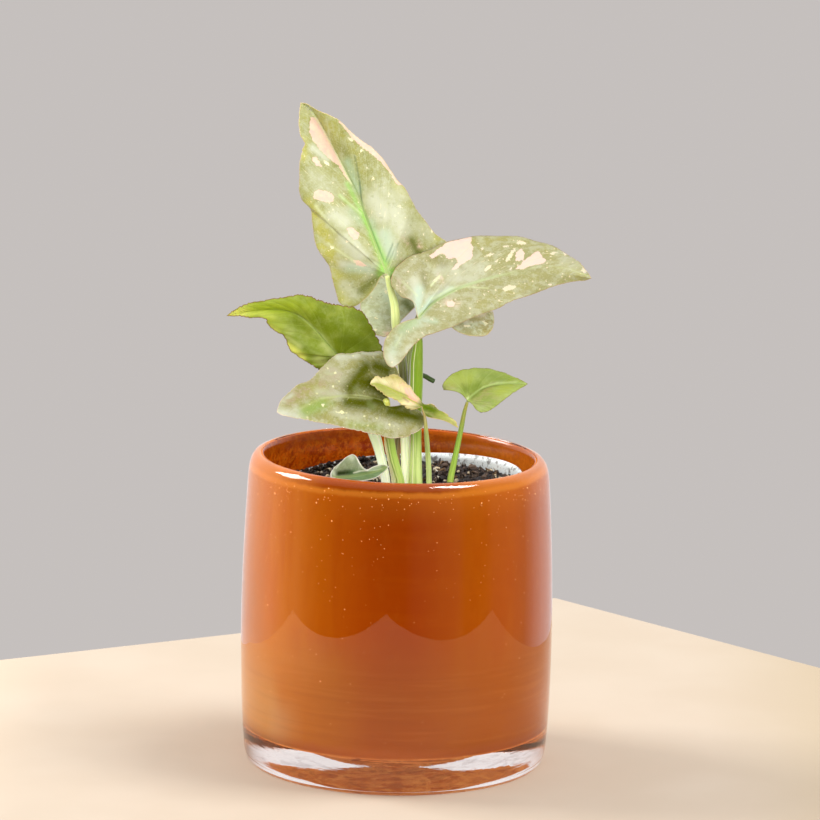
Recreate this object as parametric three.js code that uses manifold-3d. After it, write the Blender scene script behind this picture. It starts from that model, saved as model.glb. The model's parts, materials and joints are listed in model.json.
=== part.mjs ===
// Arrowhead plant (Syngonium) in its plastic nursery pot, set in a cased-glass cover pot.
// Units are millimetres, +Z is up, and the origin is the centre of the glass base where it stands.
import * as THREE from 'three';
import { mergeVertices } from 'three/addons/utils/BufferGeometryUtils.js';
import Module from 'manifold-3d';

const wasm = await Module();
wasm.setup();

// ---------------------------------------------------------------- driving dimensions
const GAP = 0.3;            // clearance between neighbouring pieces
const POT_HEIGHT = 110;     // cover pot, foot to lip
const POT_RADIUS = 55;      // cover pot at its widest
const RIM_SLOPE = -0.0169;  // the hand-made lip is 0.9 mm lower on +X
const SEG = 40;             // facets round the pots
const LINER_HEIGHT = 84.1;  // nursery pot, foot to rim
const LINER_RIM = 43.6;     // outer radius of its rim bead (standard 9 cm pot)
const LINER_FOOT = 31;      // outer radius of its floor
const LINER_CENTRE = [0.5, -3.8, 101.5];   // rim centre
const LINER_UP = [-0.073, -0.017, 1];      // the liner leans a little
const HOLE_RADIUS = 2.1;    // drainage holes in the liner's floor
const HOLE_CIRCLE = 21;
const BLADE_THICKNESS = 0.8;

const BLADES = {
  leaf_a: {
    normal: [-0.100, -0.902, 0.421], reach: [0.5, 0.56], arch: [0.07, 0.06],
    midrib: [[-5.3, 0.0, 173.9], [-7.9, 3.5, 179.6], [-10.6, 7.3, 186.0], [-13.0, 10.5, 192.2], [-15.2, 13.0, 198.2], [-18.2, 15.6, 204.2], [-21.4, 17.5, 209.8], [-25.1, 19.2, 215.9], [-28.3, 20.6, 221.7], [-31.2, 21.1, 226.5], [-34.1, 20.8, 229.7], [-36.7, 20.3, 231.3]],
    leftMargin: [[-36.7, 20.3, 231.3], [-37.1, 18.2, 227.9], [-37.1, 16.3, 223.9], [-36.6, 15.2, 220.5], [-35.0, 14.7, 217.6], [-35.8, 14.3, 215.4], [-36.5, 13.5, 211.2], [-36.7, 12.0, 205.8], [-36.5, 11.1, 201.7], [-35.5, 10.5, 198.2], [-33.8, 10.4, 196.2], [-32.4, 10.6, 194.7], [-31.7, 9.4, 190.0], [-31.1, 8.2, 185.2], [-29.7, 7.3, 181.5], [-27.5, 6.9, 178.0], [-25.4, 7.1, 174.8], [-24.4, 7.3, 170.5], [-23.3, 7.4, 166.3], [-21.7, 7.3, 162.4], [-19.2, 6.3, 160.8]],
    leftSinus: [[-5.3, 0.0, 173.9], [-5.8, 0.2, 174.2], [-7.6, 2.4, 172.7], [-9.1, 2.9, 169.4], [-11.2, 3.6, 166.4], [-13.3, 4.4, 164.1], [-16.0, 5.3, 161.8], [-19.2, 6.3, 160.8]],
    rightMargin: [[-36.7, 20.3, 231.3], [-34.8, 19.9, 231.1], [-32.6, 19.2, 230.1], [-29.8, 17.8, 228.8], [-26.2, 16.7, 227.4], [-23.4, 16.3, 226.1], [-21.3, 15.8, 224.4], [-18.4, 15.3, 221.7], [-14.9, 14.7, 219.0], [-11.3, 14.3, 216.7], [-8.5, 13.7, 214.0], [-6.0, 13.1, 210.9], [-3.8, 12.5, 207.9], [-2.0, 12.2, 205.4], [0.1, 12.0, 203.2], [1.6, 11.8, 200.8], [3.4, 11.2, 197.7], [5.9, 11.7, 193.8], [8.8, 13.0, 189.7], [11.6, 14.2, 186.4], [14.5, 15.0, 184.2], [16.3, 14.9, 182.1], [17.1, 14.4, 179.0], [16.1, 13.2, 174.9], [13.3, 11.8, 171.1], [9.5, 9.9, 168.5], [5.3, 7.8, 167.7]],
    rightSinus: [[-5.3, 0.0, 173.9], [-4.8, -0.3, 173.4], [-4.2, 0.1, 172.4], [-2.1, 2.3, 170.7], [1.0, 6.6, 168.6], [5.3, 7.8, 167.7]],
  },
  leaf_b: {
    normal: [0.060, -0.621, 0.781], reach: [0.52, 0.58], arch: [0.06, 0.05],
    midrib: [[5.7, -14.0, 161.1], [8.5, -10.8, 163.9], [11.9, -8.0, 166.3], [15.7, -5.8, 168.3], [19.7, -3.8, 170.0], [23.7, -2.5, 171.4], [28.6, -1.2, 172.9], [33.8, -0.2, 174.2], [41.1, -0.6, 175.3], [49.8, -1.9, 176.0], [56.7, -4.5, 176.2], [61.8, -7.9, 176.0], [65.7, -10.5, 175.6]],
    leftMargin: [[65.7, -10.5, 175.6], [64.6, -6.4, 177.0], [62.7, -1.5, 178.6], [60.0, 3.3, 180.2], [57.3, 7.1, 181.5], [53.8, 10.1, 182.8], [50.4, 13.0, 183.8], [46.2, 14.9, 184.7], [42.0, 15.9, 185.4], [37.0, 16.5, 185.7], [32.1, 16.2, 185.9], [27.2, 15.5, 185.7], [22.9, 14.0, 185.4], [18.7, 12.4, 184.9], [15.9, 10.8, 184.3], [12.4, 8.3, 183.1], [8.9, 5.8, 181.8], [5.4, 3.6, 180.9], [1.9, 1.3, 179.8], [-0.8, -1.5, 178.2], [-2.9, -5.0, 176.1], [-3.9, -8.0, 173.8], [-3.5, -9.5, 171.6], [-1.7, -10.2, 169.5]],
    leftSinus: [[5.7, -14.0, 161.1], [5.5, -13.7, 161.5], [5.2, -12.1, 163.4], [4.4, -10.5, 165.7], [2.5, -10.2, 167.2], [0.1, -10.7, 168.0], [-1.7, -10.2, 169.5]],
    rightMargin: [[65.7, -10.5, 175.6], [63.5, -8.4, 174.5], [60.1, -6.7, 173.8], [56.7, -5.2, 172.8], [53.3, -4.5, 171.7], [49.9, -4.1, 170.3], [46.4, -3.9, 168.8], [42.9, -4.1, 167.6], [39.5, -4.5, 166.5], [36.7, -5.0, 165.3], [34.3, -6.2, 164.1], [31.5, -7.1, 163.1], [27.3, -8.7, 161.7], [23.8, -10.4, 160.6], [20.3, -12.4, 159.3], [16.9, -14.4, 158.0], [13.4, -15.8, 157.1], [10.0, -17.9, 156.2], [7.2, -20.1, 155.2], [4.5, -22.5, 153.4], [2.8, -24.5, 151.5], [1.1, -26.2, 149.3], [-0.9, -27.0, 147.3], [-3.0, -27.4, 146.2], [-4.7, -26.5, 147.0], [-6.0, -25.0, 149.3]],
    rightSinus: [[5.7, -14.0, 161.1], [5.0, -14.1, 161.1], [3.0, -14.4, 160.7], [0.2, -15.3, 159.8], [-2.2, -16.8, 158.5], [-4.2, -18.7, 156.6], [-5.6, -20.8, 154.6], [-6.1, -22.8, 152.1], [-6.0, -25.0, 149.3]],
  },
  leaf_c: {
    normal: [0.050, -0.621, 0.782], reach: [0.55, 0.58], arch: [0.05, 0.05],
    midrib: [[7.9, 22.0, 161.4], [7.1, 27.3, 165.2], [6.0, 33.3, 169.6], [4.5, 39.2, 174.4], [2.9, 44.6, 179.3], [1.0, 49.8, 184.9], [-1.2, 52.8, 190.3]],
    leftMargin: [[-1.2, 52.8, 190.3], [-3.6, 48.9, 186.8], [-6.1, 44.9, 183.4], [-8.2, 41.2, 179.6], [-9.9, 37.5, 175.8], [-11.5, 33.8, 172.1], [-12.9, 30.2, 168.3], [-14.2, 25.6, 164.7], [-14.8, 21.1, 161.2], [-14.3, 16.2, 157.7], [-13.2, 11.7, 154.6], [-11.0, 8.0, 152.5], [-8.5, 6.0, 151.2], [-6.0, 5.4, 151.0]],
    leftSinus: [[7.9, 22.0, 161.4], [6.5, 21.0, 160.7], [4.7, 19.1, 159.3], [2.3, 15.8, 157.4], [-0.2, 12.6, 155.4], [-2.2, 8.9, 153.1], [-3.9, 6.5, 151.8], [-6.0, 5.4, 151.0]],
    rightMargin: [[-1.2, 52.8, 190.3], [2.4, 50.9, 188.1], [6.4, 48.3, 185.3], [10.4, 45.8, 182.1], [14.4, 43.0, 178.6], [18.0, 40.1, 175.2], [21.7, 36.4, 171.5], [25.3, 32.3, 167.5], [28.1, 28.0, 164.0], [30.6, 23.3, 160.5], [32.5, 18.9, 157.3], [32.7, 15.1, 154.8], [32.0, 11.9, 152.8], [30.2, 9.6, 151.6], [27.7, 8.4, 151.2], [24.2, 7.9, 151.1]],
    rightSinus: [[7.9, 22.0, 161.4], [8.9, 21.3, 160.8], [10.4, 20.0, 159.7], [12.9, 17.1, 157.7], [15.7, 13.7, 155.3], [18.2, 10.8, 153.3], [21.0, 8.7, 152.0], [24.2, 7.9, 151.1]],
  },
  leaf_d: {
    normal: [-0.151, -0.987, 0.050], reach: [0.62, 0.55], arch: [0.08, 0.08],
    midrib: [[-21.7, 2.5, 144.0], [-23.9, 2.9, 146.4], [-26.4, 3.5, 149.1], [-29.2, 3.6, 152.4], [-32.1, 3.7, 155.4], [-35.2, 3.3, 157.9], [-38.4, 2.8, 159.5], [-42.2, 2.0, 160.5], [-46.8, 0.7, 160.8], [-51.9, -1.1, 160.5], [-57.1, -3.3, 159.9], [-61.0, -5.7, 159.4]],
    leftMargin: [[-61.0, -5.7, 159.4], [-58.8, -5.1, 159.3], [-56.0, -4.0, 159.0], [-52.9, -3.0, 158.3], [-50.1, -2.0, 158.3], [-48.1, -1.3, 158.0], [-46.7, -0.6, 155.9], [-45.3, 0.1, 154.0], [-43.2, 0.7, 152.7], [-41.4, 0.9, 152.0], [-40.3, 1.1, 149.6], [-38.9, 1.2, 146.6], [-36.4, 1.7, 144.2], [-33.6, 1.7, 142.5], [-30.8, 1.7, 140.8], [-28.3, 1.8, 139.2], [-25.8, 1.8, 138.0], [-23.4, 1.9, 137.6]],
    leftSinus: [[-21.7, 2.5, 144.0], [-21.5, 2.4, 143.3], [-21.3, 2.3, 141.5], [-21.6, 2.2, 139.0], [-23.4, 1.9, 137.6]],
    rightMargin: [[-61.0, -5.7, 159.4], [-59.1, -4.9, 161.0], [-57.1, -4.2, 162.2], [-54.4, -3.1, 163.3], [-51.3, -2.0, 164.0], [-47.8, -1.0, 164.4], [-44.3, -0.0, 164.9], [-40.9, 0.5, 165.4], [-37.4, 1.0, 166.1], [-34.6, 1.6, 166.1], [-31.8, 1.6, 165.5], [-29.3, 1.7, 164.5], [-26.5, 1.7, 163.5], [-23.4, 1.7, 162.9], [-19.8, 1.6, 162.4], [-16.3, 1.6, 161.8], [-13.9, 1.6, 160.5], [-11.7, 1.7, 157.5], [-9.6, 1.6, 153.6], [-7.8, 1.2, 150.5], [-6.3, 0.8, 147.4], [-5.9, 0.6, 144.2], [-7.3, 0.7, 141.4], [-10.4, 0.9, 140.2]],
    rightSinus: [[-21.7, 2.5, 144.0], [-20.7, 2.3, 143.7], [-18.2, 1.9, 142.7], [-14.3, 1.4, 140.7], [-10.4, 0.9, 140.2]],
  },
  leaf_e: {
    normal: [0.163, -0.611, 0.774], reach: [0.58, 0.58], arch: [0.07, 0.07],
    midrib: [[-6.0, -14.0, 131.7], [-9.1, -14.1, 132.6], [-12.6, -14.5, 133.3], [-16.8, -15.5, 133.8], [-20.9, -16.9, 133.8], [-25.4, -18.8, 133.4], [-29.8, -20.9, 132.7], [-34.3, -23.2, 131.6], [-38.7, -25.2, 130.5], [-42.5, -26.4, 129.6]],
    leftMargin: [[-42.5, -26.4, 129.6], [-41.1, -26.6, 128.7], [-38.0, -26.5, 128.0], [-33.8, -26.0, 127.1], [-29.0, -25.5, 126.2], [-23.4, -25.0, 125.1], [-18.6, -24.8, 124.1], [-14.4, -24.7, 123.1], [-9.6, -24.4, 122.1], [-4.7, -24.2, 121.0], [-0.9, -23.7, 120.4], [1.6, -22.7, 120.7], [4.3, -21.2, 121.5], [7.1, -19.4, 122.7], [8.6, -17.3, 124.5], [8.4, -15.4, 126.4]],
    leftSinus: [[-6.0, -14.0, 131.7], [-5.2, -14.7, 131.0], [-3.8, -15.3, 130.2], [-1.4, -14.6, 130.2], [1.0, -13.5, 130.3], [4.2, -13.5, 129.5], [7.0, -14.0, 128.2], [8.4, -15.4, 126.4]],
    rightMargin: [[-42.5, -26.4, 129.6], [-42.3, -24.7, 130.7], [-41.6, -22.6, 132.1], [-40.3, -20.3, 133.8], [-38.3, -17.9, 135.5], [-35.6, -15.8, 137.1], [-32.8, -14.2, 138.2], [-30.5, -12.5, 139.5], [-28.4, -10.4, 141.3], [-26.4, -8.2, 143.4], [-24.4, -6.4, 145.0], [-22.0, -4.9, 146.2], [-17.8, -3.8, 146.6], [-13.6, -3.0, 146.9], [-9.4, -2.3, 147.0], [-6.6, -2.0, 146.7], [-4.1, -3.0, 144.9], [-2.0, -4.4, 142.4], [-0.5, -6.0, 139.9], [-0.2, -7.8, 137.4]],
    rightSinus: [[-6.0, -14.0, 131.7], [-4.6, -13.0, 132.3], [-2.9, -11.4, 133.6], [-1.2, -9.8, 135.2], [-0.2, -7.8, 137.4]],
  },
  leaf_f: {
    normal: [0.100, -0.796, 0.597], reach: [0.78, 0.545], arch: [0.06, 0.1],
    midrib: [[7.5, -18.0, 130.7], [4.5, -17.2, 132.3], [1.3, -16.9, 133.9], [-1.8, -16.4, 135.6], [-5.0, -16.2, 137.1], [-7.8, -16.3, 138.0], [-10.6, -16.9, 138.2]],
    leftMargin: [[-10.6, -16.9, 138.2], [-9.1, -17.5, 137.4], [-7.6, -18.0, 136.3], [-6.0, -18.4, 135.1], [-4.2, -18.4, 134.1], [-2.3, -18.4, 133.3], [-0.6, -18.5, 132.3], [0.7, -18.8, 131.3], [2.3, -19.1, 130.2], [4.0, -18.9, 129.7]],
    leftSinus: [[7.5, -18.0, 130.7], [5.7, -18.4, 130.0], [4.0, -18.9, 129.7]],
    rightMargin: [[-10.6, -16.9, 138.2], [-9.9, -16.4, 139.7], [-8.2, -15.6, 140.8], [-6.8, -15.7, 139.8], [-5.4, -15.0, 140.8], [-3.0, -14.4, 141.5], [-0.2, -14.4, 140.8], [1.9, -15.2, 138.8], [4.1, -15.8, 136.3], [6.3, -16.8, 133.5], [7.7, -17.0, 132.2], [9.1, -16.8, 131.5], [10.8, -16.3, 131.2], [12.5, -16.1, 130.6], [13.9, -16.2, 129.4], [15.5, -16.4, 128.2], [17.3, -16.6, 127.0], [19.0, -17.1, 125.4], [20.6, -17.8, 123.3]],
    rightSinus: [[7.5, -18.0, 130.7], [8.1, -18.8, 128.9], [9.3, -19.2, 127.5], [11.3, -18.9, 126.8], [14.0, -18.2, 126.3], [16.4, -17.9, 125.4], [18.7, -17.9, 124.2], [20.6, -17.8, 123.3]],
  },
  leaf_h: {
    normal: [0.180, -0.701, 0.691], reach: [0.55, 0.62], arch: [0.06, 0.06],
    midrib: [[23.6, -4.0, 130.3], [25.5, -1.6, 132.0], [28.3, 0.9, 133.5], [31.5, 2.5, 134.5], [35.0, 3.1, 135.0], [40.3, 2.9, 135.4], [44.8, 1.9, 135.6]],
    leftMargin: [[44.8, 1.9, 135.6], [42.4, 3.2, 136.7], [39.2, 4.5, 137.9], [35.0, 5.4, 139.2], [31.4, 5.7, 140.0], [27.9, 5.2, 140.4], [24.4, 4.2, 140.3], [20.9, 2.6, 139.9], [18.4, 1.2, 139.0], [16.3, -0.8, 137.6], [14.8, -2.5, 135.7], [15.1, -3.5, 134.0]],
    leftSinus: [[23.6, -4.0, 130.3], [22.7, -3.3, 131.2], [21.3, -2.5, 132.4], [19.5, -2.4, 133.2], [17.1, -2.7, 133.7], [15.1, -3.5, 134.0]],
    rightMargin: [[44.8, 1.9, 135.6], [42.0, 0.3, 134.1], [39.2, -1.1, 132.5], [36.4, -2.4, 130.5], [33.6, -3.9, 128.5], [30.8, -5.0, 126.9], [28.4, -5.6, 126.5]],
    rightSinus: [[23.6, -4.0, 130.3], [24.3, -4.2, 129.9], [25.4, -4.5, 129.0], [26.6, -5.2, 127.5], [28.4, -5.6, 126.5]],
  },
  leaf_i: {
    normal: [-0.100, -0.619, 0.779], reach: [0.85, 0.85], arch: [0.06, 0.06],
    midrib: [[-22.8, -6.0, 102.3], [-20.3, -6.2, 102.6], [-17.1, -6.6, 103.0], [-14.0, -7.1, 103.6], [-10.8, -7.4, 104.4], [-8.1, -7.5, 105.3], [-5.6, -7.3, 106.2], [-3.5, -7.0, 107.0]],
    leftMargin: [[-3.5, -7.0, 107.0], [-5.1, -6.4, 107.4], [-6.9, -6.3, 107.4], [-9.0, -6.6, 106.8], [-10.7, -7.3, 106.0], [-11.9, -7.5, 105.9], [-13.0, -6.7, 106.8], [-14.1, -4.7, 108.4], [-15.0, -3.0, 109.5], [-16.4, -1.8, 110.1], [-18.4, -2.0, 109.2], [-20.4, -2.9, 107.5], [-22.5, -3.5, 105.8], [-23.9, -4.6, 104.0], [-24.0, -5.7, 102.4]],
    leftSinus: [[-22.8, -6.0, 102.3], [-24.0, -5.7, 102.4]],
    rightMargin: [[-3.5, -7.0, 107.0], [-4.2, -7.8, 106.0], [-5.9, -8.6, 104.5], [-8.4, -9.2, 103.1], [-11.5, -9.0, 102.2], [-15.0, -8.4, 101.7], [-18.5, -7.6, 101.6], [-21.3, -6.9, 101.8]],
    rightSinus: [[-22.8, -6.0, 102.3], [-21.3, -6.9, 101.8]],
  },
};

const STALKS = {
  leaf_a: { path: [[-5.2, 0.0, 173.5], [-4.5, 0.2, 170.6], [-3.3, 0.6, 166.3], [-2.4, 0.9, 162.8], [-1.8, 1.2, 155.6], [-0.4, 1.4, 148.1], [0.7, 1.5, 139.9], [1.5, 1.5, 129.2], [2.0, 1.3, 118.5], [2.3, 1.1, 108.5], [2.7, 1.0, 99.8], [3.2, 1.0, 86.0]], radius: [1.15, 1.35, 1.55, 1.72, 1.75, 1.75, 1.80, 1.85, 1.85, 1.80, 1.80, 1.53] },
  leaf_b: { path: [[5.8, -13.0, 160.4], [6.0, -12.0, 157.0], [6.0, -10.3, 152.1], [5.6, -8.0, 145.3], [5.6, -5.6, 136.0], [5.6, -4.0, 126.0], [5.8, -3.2, 115.9], [5.9, -2.9, 107.9], [5.9, -2.7, 100.7], [6.2, -2.6, 86.0]], radius: [1.15, 1.35, 1.80, 2.25, 2.35, 2.10, 1.95, 2.20, 2.50, 2.12] },
  leaf_c: { path: [[7.7, 22.5, 160.8], [6.2, 22.0, 156.4], [4.2, 19.5, 149.6], [2.5, 16.5, 141.4], [2.0, 13.5, 132.3], [0.7, 11.0, 123.7], [-0.7, 8.5, 114.1], [-0.9, 7.0, 106.5], [-0.5, 6.3, 99.4], [0.6, 5.6, 86.0]], radius: [0.95, 1.00, 1.00, 1.05, 1.10, 1.10, 1.15, 1.25, 1.30, 1.10] },
  leaf_d: { path: [[-21.5, 2.6, 143.1], [-18.8, 3.0, 136.8], [-15.5, 3.2, 129.6], [-11.9, 3.3, 122.2], [-8.6, 3.3, 115.4], [-6.6, 3.2, 108.6], [-4.7, 3.1, 100.0], [-3.6, 3.0, 86.0]], radius: [1.00, 1.20, 1.45, 1.80, 2.10, 1.70, 1.70, 1.44] },
  leaf_e: { path: [[-4.8, -15.0, 132.4], [-4.6, -14.2, 130.5], [-4.4, -12.6, 127.6], [-3.9, -11.2, 121.6], [-3.1, -9.8, 116.3], [-2.0, -8.4, 110.7], [-0.6, -7.5, 105.9], [0.6, -7.0, 101.5], [1.6, -6.6, 86.0]], radius: [1.15, 1.30, 1.15, 1.35, 1.50, 1.50, 1.50, 1.50, 1.27] },
  leaf_f: { path: [[7.8, -18.0, 130.0], [8.7, -19.6, 127.0], [9.1, -19.4, 123.5], [9.5, -16.6, 118.7], [10.0, -12.0, 112.4], [10.4, -9.4, 107.2], [10.6, -7.4, 101.8], [11.2, -6.8, 86.0]], radius: [0.50, 0.62, 0.75, 0.90, 0.95, 0.97, 1.00, 0.85] },
  leaf_h: { path: [[23.5, -3.8, 129.8], [22.6, -3.4, 126.2], [21.6, -2.9, 120.4], [20.4, -2.3, 113.8], [19.3, -1.8, 107.9], [18.1, -1.2, 100.6], [17.6, -0.8, 86.0]], radius: [0.72, 0.80, 0.90, 1.00, 1.10, 1.20, 1.02] },
  leaf_i: { path: [[-22.9, -6.0, 102.0], [-22.5, -5.8, 100.9], [-21.6, -5.0, 86.0]], radius: [0.65, 0.80, 0.68] },
  sheath: { path: [[-5.4, -5.2, 118.2], [-4.7, -4.8, 113.9], [-3.6, -4.5, 109.5], [-2.6, -4.2, 105.2], [-1.8, -4.0, 100.8], [-1.6, -3.6, 86.0]], radius: [0.55, 0.65, 0.75, 0.80, 0.85, 0.72] },
  stub: { path: [[11.8, 4.5, 135.5], [10.4, 4.2, 136.3], [8.9, 3.6, 137.3], [7.2, 2.2, 138.1], [5.6, -0.5, 138.8]], radius: [0.85, 0.90, 0.90, 0.85, 0.80] },
};

// ---------------------------------------------------------------- helpers
// Closed index list: shared vertices merged, empty triangles dropped, faces turned outwards.
function closed(geometry) {
  for (const name of Object.keys(geometry.attributes)) if (name !== 'position') geometry.deleteAttribute(name);
  let g = mergeVertices(geometry, 1e-4);
  const p = g.attributes.position, src = g.index.array, keep = [];
  for (let i = 0; i < src.length; i += 3) {
    const [a, b, c] = [src[i], src[i + 1], src[i + 2]];
    if (a !== b && b !== c && c !== a) keep.push(a, b, c);
  }
  let volume = 0;
  const A = new THREE.Vector3(), B = new THREE.Vector3(), C = new THREE.Vector3();
  for (let i = 0; i < keep.length; i += 3) {
    A.fromBufferAttribute(p, keep[i]); B.fromBufferAttribute(p, keep[i + 1]); C.fromBufferAttribute(p, keep[i + 2]);
    volume += A.dot(B.cross(C)) / 6;
  }
  if (volume < 0) for (let i = 0; i < keep.length; i += 3) [keep[i + 1], keep[i + 2]] = [keep[i + 2], keep[i + 1]];
  g.setIndex(keep);
  return g;
}

function solid(geometry) {
  const g = closed(geometry);
  return new wasm.Manifold(new wasm.Mesh({
    numProp: 3,
    vertProperties: new Float32Array(g.attributes.position.array),
    triVerts: new Uint32Array(g.index.array),
  }));
}

function fromSolid(manifold) {
  const m = manifold.getMesh(), g = new THREE.BufferGeometry();
  const xyz = new Float32Array((m.vertProperties.length / m.numProp) * 3);
  for (let i = 0; i < xyz.length / 3; i++) for (let k = 0; k < 3; k++) xyz[3 * i + k] = m.vertProperties[i * m.numProp + k];
  g.setAttribute('position', new THREE.BufferAttribute(xyz, 3));
  g.setIndex(Array.from(m.triVerts));
  return g;
}

const smooth = (a, b, x) => { const t = Math.min(1, Math.max(0, (x - a) / (b - a))); return t * t * (3 - 2 * t); };

// Turned shape about +Z from [radius, height] pairs that start and end on the axis.
function turned(profile, segments = SEG) {
  return new THREE.LatheGeometry(profile.map(([r, z]) => new THREE.Vector2(r, z)), segments).rotateX(Math.PI / 2);
}

// The lip plane of the cover pot dips towards +X.
function slopeRim(geometry) {
  const p = geometry.attributes.position;
  for (let i = 0; i < p.count; i++) p.setZ(i, p.getZ(i) + RIM_SLOPE * p.getX(i) * smooth(78, 110, p.getZ(i)));
  return geometry;
}

const curveOf = (points) => new THREE.CatmullRomCurve3(points.map((q) => new THREE.Vector3(...q)), false, 'centripetal');

// Round stalk along a curve, its radius interpolated along the length, with closed ends.
function stalk({ path, radius }, { sides = 8, steps = 9, from = 0, to = 1, grow = 0 } = {}) {
  const curve = curveOf(path), frames = curve.computeFrenetFrames(steps, false), xyz = [], index = [];
  const radiusAt = (u) => {
    const x = u * (radius.length - 1), i = Math.min(radius.length - 2, Math.floor(x));
    return radius[i] + (radius[i + 1] - radius[i]) * (x - i) + grow;
  };
  for (let s = 0; s <= steps; s++) {
    const u = from + (to - from) * (s / steps), c = curve.getPoint(u), r = radiusAt(u);
    const tangent = curve.getTangent(u), n = frames.normals[s].clone();
    n.addScaledVector(tangent, -n.dot(tangent)).normalize();
    const b = new THREE.Vector3().crossVectors(tangent, n);
    for (let k = 0; k < sides; k++) {
      const a = (2 * Math.PI * k) / sides, q = c.clone().addScaledVector(n, r * Math.cos(a)).addScaledVector(b, r * Math.sin(a));
      xyz.push(q.x, q.y, q.z);
    }
  }
  for (let s = 0; s < steps; s++) for (let k = 0; k < sides; k++) {
    const a = s * sides + k, b = s * sides + (k + 1) % sides, c = a + sides, d = b + sides;
    index.push(a, b, d, a, d, c);
  }
  for (let k = 1; k < sides - 1; k++) {
    index.push(0, k + 1, k);
    const e = steps * sides;
    index.push(e, e + k, e + k + 1);
  }
  const g = new THREE.BufferGeometry();
  g.setAttribute('position', new THREE.BufferAttribute(new Float32Array(xyz), 3));
  g.setIndex(index);
  return g;
}

// Arrow-shaped blade. Lines run from the midrib to the margin; behind the junction they fan round
// each basal lobe to its sinus edge. Both faces and the edge are closed into one thin solid.
function blade(B, { ribs = 10, fan = 6, across = 4, thickness = BLADE_THICKNESS } = {}) {
  const normal = new THREE.Vector3(...B.normal).normalize();
  const mid = curveOf(B.midrib), points = [], tris = [];
  const add = (v) => points.push(v) - 1;
  const midIndex = [];
  for (let k = 0; k <= ribs; k++) midIndex.push(add(mid.getPointAt(1 - k / ribs)));
  const J = points[midIndex[ribs]];
  for (const [side, margin, sinus] of [[0, B.leftMargin, B.leftSinus], [1, B.rightMargin, B.rightSinus]]) {
    const edge = curveOf(margin), inner = curveOf(sinus), reach = B.reach[side], arch = B.arch[side];
    const innerA = inner.getPointAt(0), innerB = inner.getPointAt(1), rows = [];
    for (let k = 0; k <= ribs + fan; k++) {
      const w = Math.max(0, (k - ribs) / fan);
      const root = points[midIndex[Math.min(k, ribs)]];
      const E = edge.getPointAt(k <= ribs ? (k / ribs) * reach : reach + (1 - reach) * w);
      const row = [midIndex[Math.min(k, ribs)]];
      for (let j = 1; j <= across; j++) {
        const t = j / across;
        if (k === 0) { row.push(midIndex[0]); continue; }
        const q = root.clone().lerp(E, t);
        if (w > 0) {
          const d = inner.getPointAt(t).sub(innerA.clone().lerp(innerB, t));
          q.addScaledVector(d, w * w * (3 - 2 * w));
        }
        q.addScaledVector(normal, arch * root.distanceTo(E) * 4 * t * (1 - t) * (1 - w));
        row.push(add(q));
      }
      rows.push(row);
    }
    for (let k = 0; k < ribs + fan; k++) for (let j = 0; j < across; j++) {
      const a = rows[k][j], b = rows[k][j + 1], c = rows[k + 1][j + 1], d = rows[k + 1][j];
      for (const t of [[a, b, c], [a, c, d]]) {
        if (t[0] === t[1] || t[1] === t[2] || t[2] === t[0]) continue;
        tris.push(side ? [t[0], t[2], t[1]] : t);
      }
    }
  }
  const normals = points.map(() => new THREE.Vector3());
  for (const [a, b, c] of tris) {
    const n = points[b].clone().sub(points[a]).cross(points[c].clone().sub(points[a]));
    for (const i of [a, b, c]) normals[i].add(n);
  }
  const count = points.length, xyz = [], index = [], open = new Map();
  normals.forEach((n) => n.normalize());
  for (const s of [0.5, -0.5]) points.forEach((q, i) => xyz.push(...q.clone().addScaledVector(normals[i], s * thickness).toArray()));
  for (const [a, b, c] of tris) {
    index.push(a, b, c, a + count, c + count, b + count);
    for (const [u, v] of [[a, b], [b, c], [c, a]]) {
      if (open.has(v + ',' + u)) open.delete(v + ',' + u); else open.set(u + ',' + v, [u, v]);
    }
  }
  for (const [u, v] of open.values()) index.push(v, u, u + count, v, u + count, v + count);
  const g = new THREE.BufferGeometry();
  g.setAttribute('position', new THREE.BufferAttribute(new Float32Array(xyz), 3));
  g.setIndex(index);
  return g;
}

const object = new THREE.Group();
function piece(name, geometry, color, roughness, extra = {}) {
  const g = closed(geometry);
  g.computeVertexNormals();
  const mesh = new THREE.Mesh(g, new THREE.MeshStandardMaterial({ color, roughness, metalness: 0, ...extra }));
  mesh.name = name;
  object.add(mesh);
  return mesh;
}

// ---------------------------------------------------------------- glass cover pot
// Two gathers of glass: a clear casing with a thick foot, and the amber layer that lines it.
const R = POT_RADIUS, H = POT_HEIGHT;
const casingOutside = [
  [0, 0], [49.8, 0], [51.4, 0.2], [52.6, 1], [53.3, 3],
  [53.8, 7], [54.6, 20], [R, 36], [R, 54], [54.5, 74], [53.4, 96], [52.75, 104.5], [52.3, 106.6],
  [51.6, 108.3], [50.9, 109.4], [50.2, H],
];
const casingInside = [
  [49.7, 109.7], [49.6, 108.9], [50.3, 107.5], [50.9, 105.7], [51.75, 99.1], [52.5, 88], [53.3, 66], [53.3, 36],
  [53.15, 21.2], [52.75, 16.9], [51.9, 13.9], [50.1, 12.55], [46, 11.75], [40, 11.05], [32, 9.85], [24, 7.65],
  [16, 5.3], [8, 4.1], [0, 3.8],
];
const amberOutside = [
  [0, 4.2], [8, 4.5], [16, 5.7], [24, 8], [32, 10.2], [40, 11.4], [46, 12.1], [50, 12.9], [51.6, 14.2], [52.4, 17],
  [52.8, 21.2], [52.95, 36], [52.95, 66], [52.15, 88], [51.4, 99], [50.5, 105.6], [49.9, 107.4], [49.25, 108.8],
  [48.7, 109.4],
];
const amberInside = [
  [48.1, 109.4], [47.7, 108.6], [47.65, 106], [47.9, 102], [48.4, 97], [49.5, 82], [50.1, 60], [50.1, 40],
  [49.7, 29], [48.9, 22], [47.6, 19], [45.4, 17], [42, 15.9], [38, 15.3], [20, 15.05], [0, 15],
];
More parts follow.
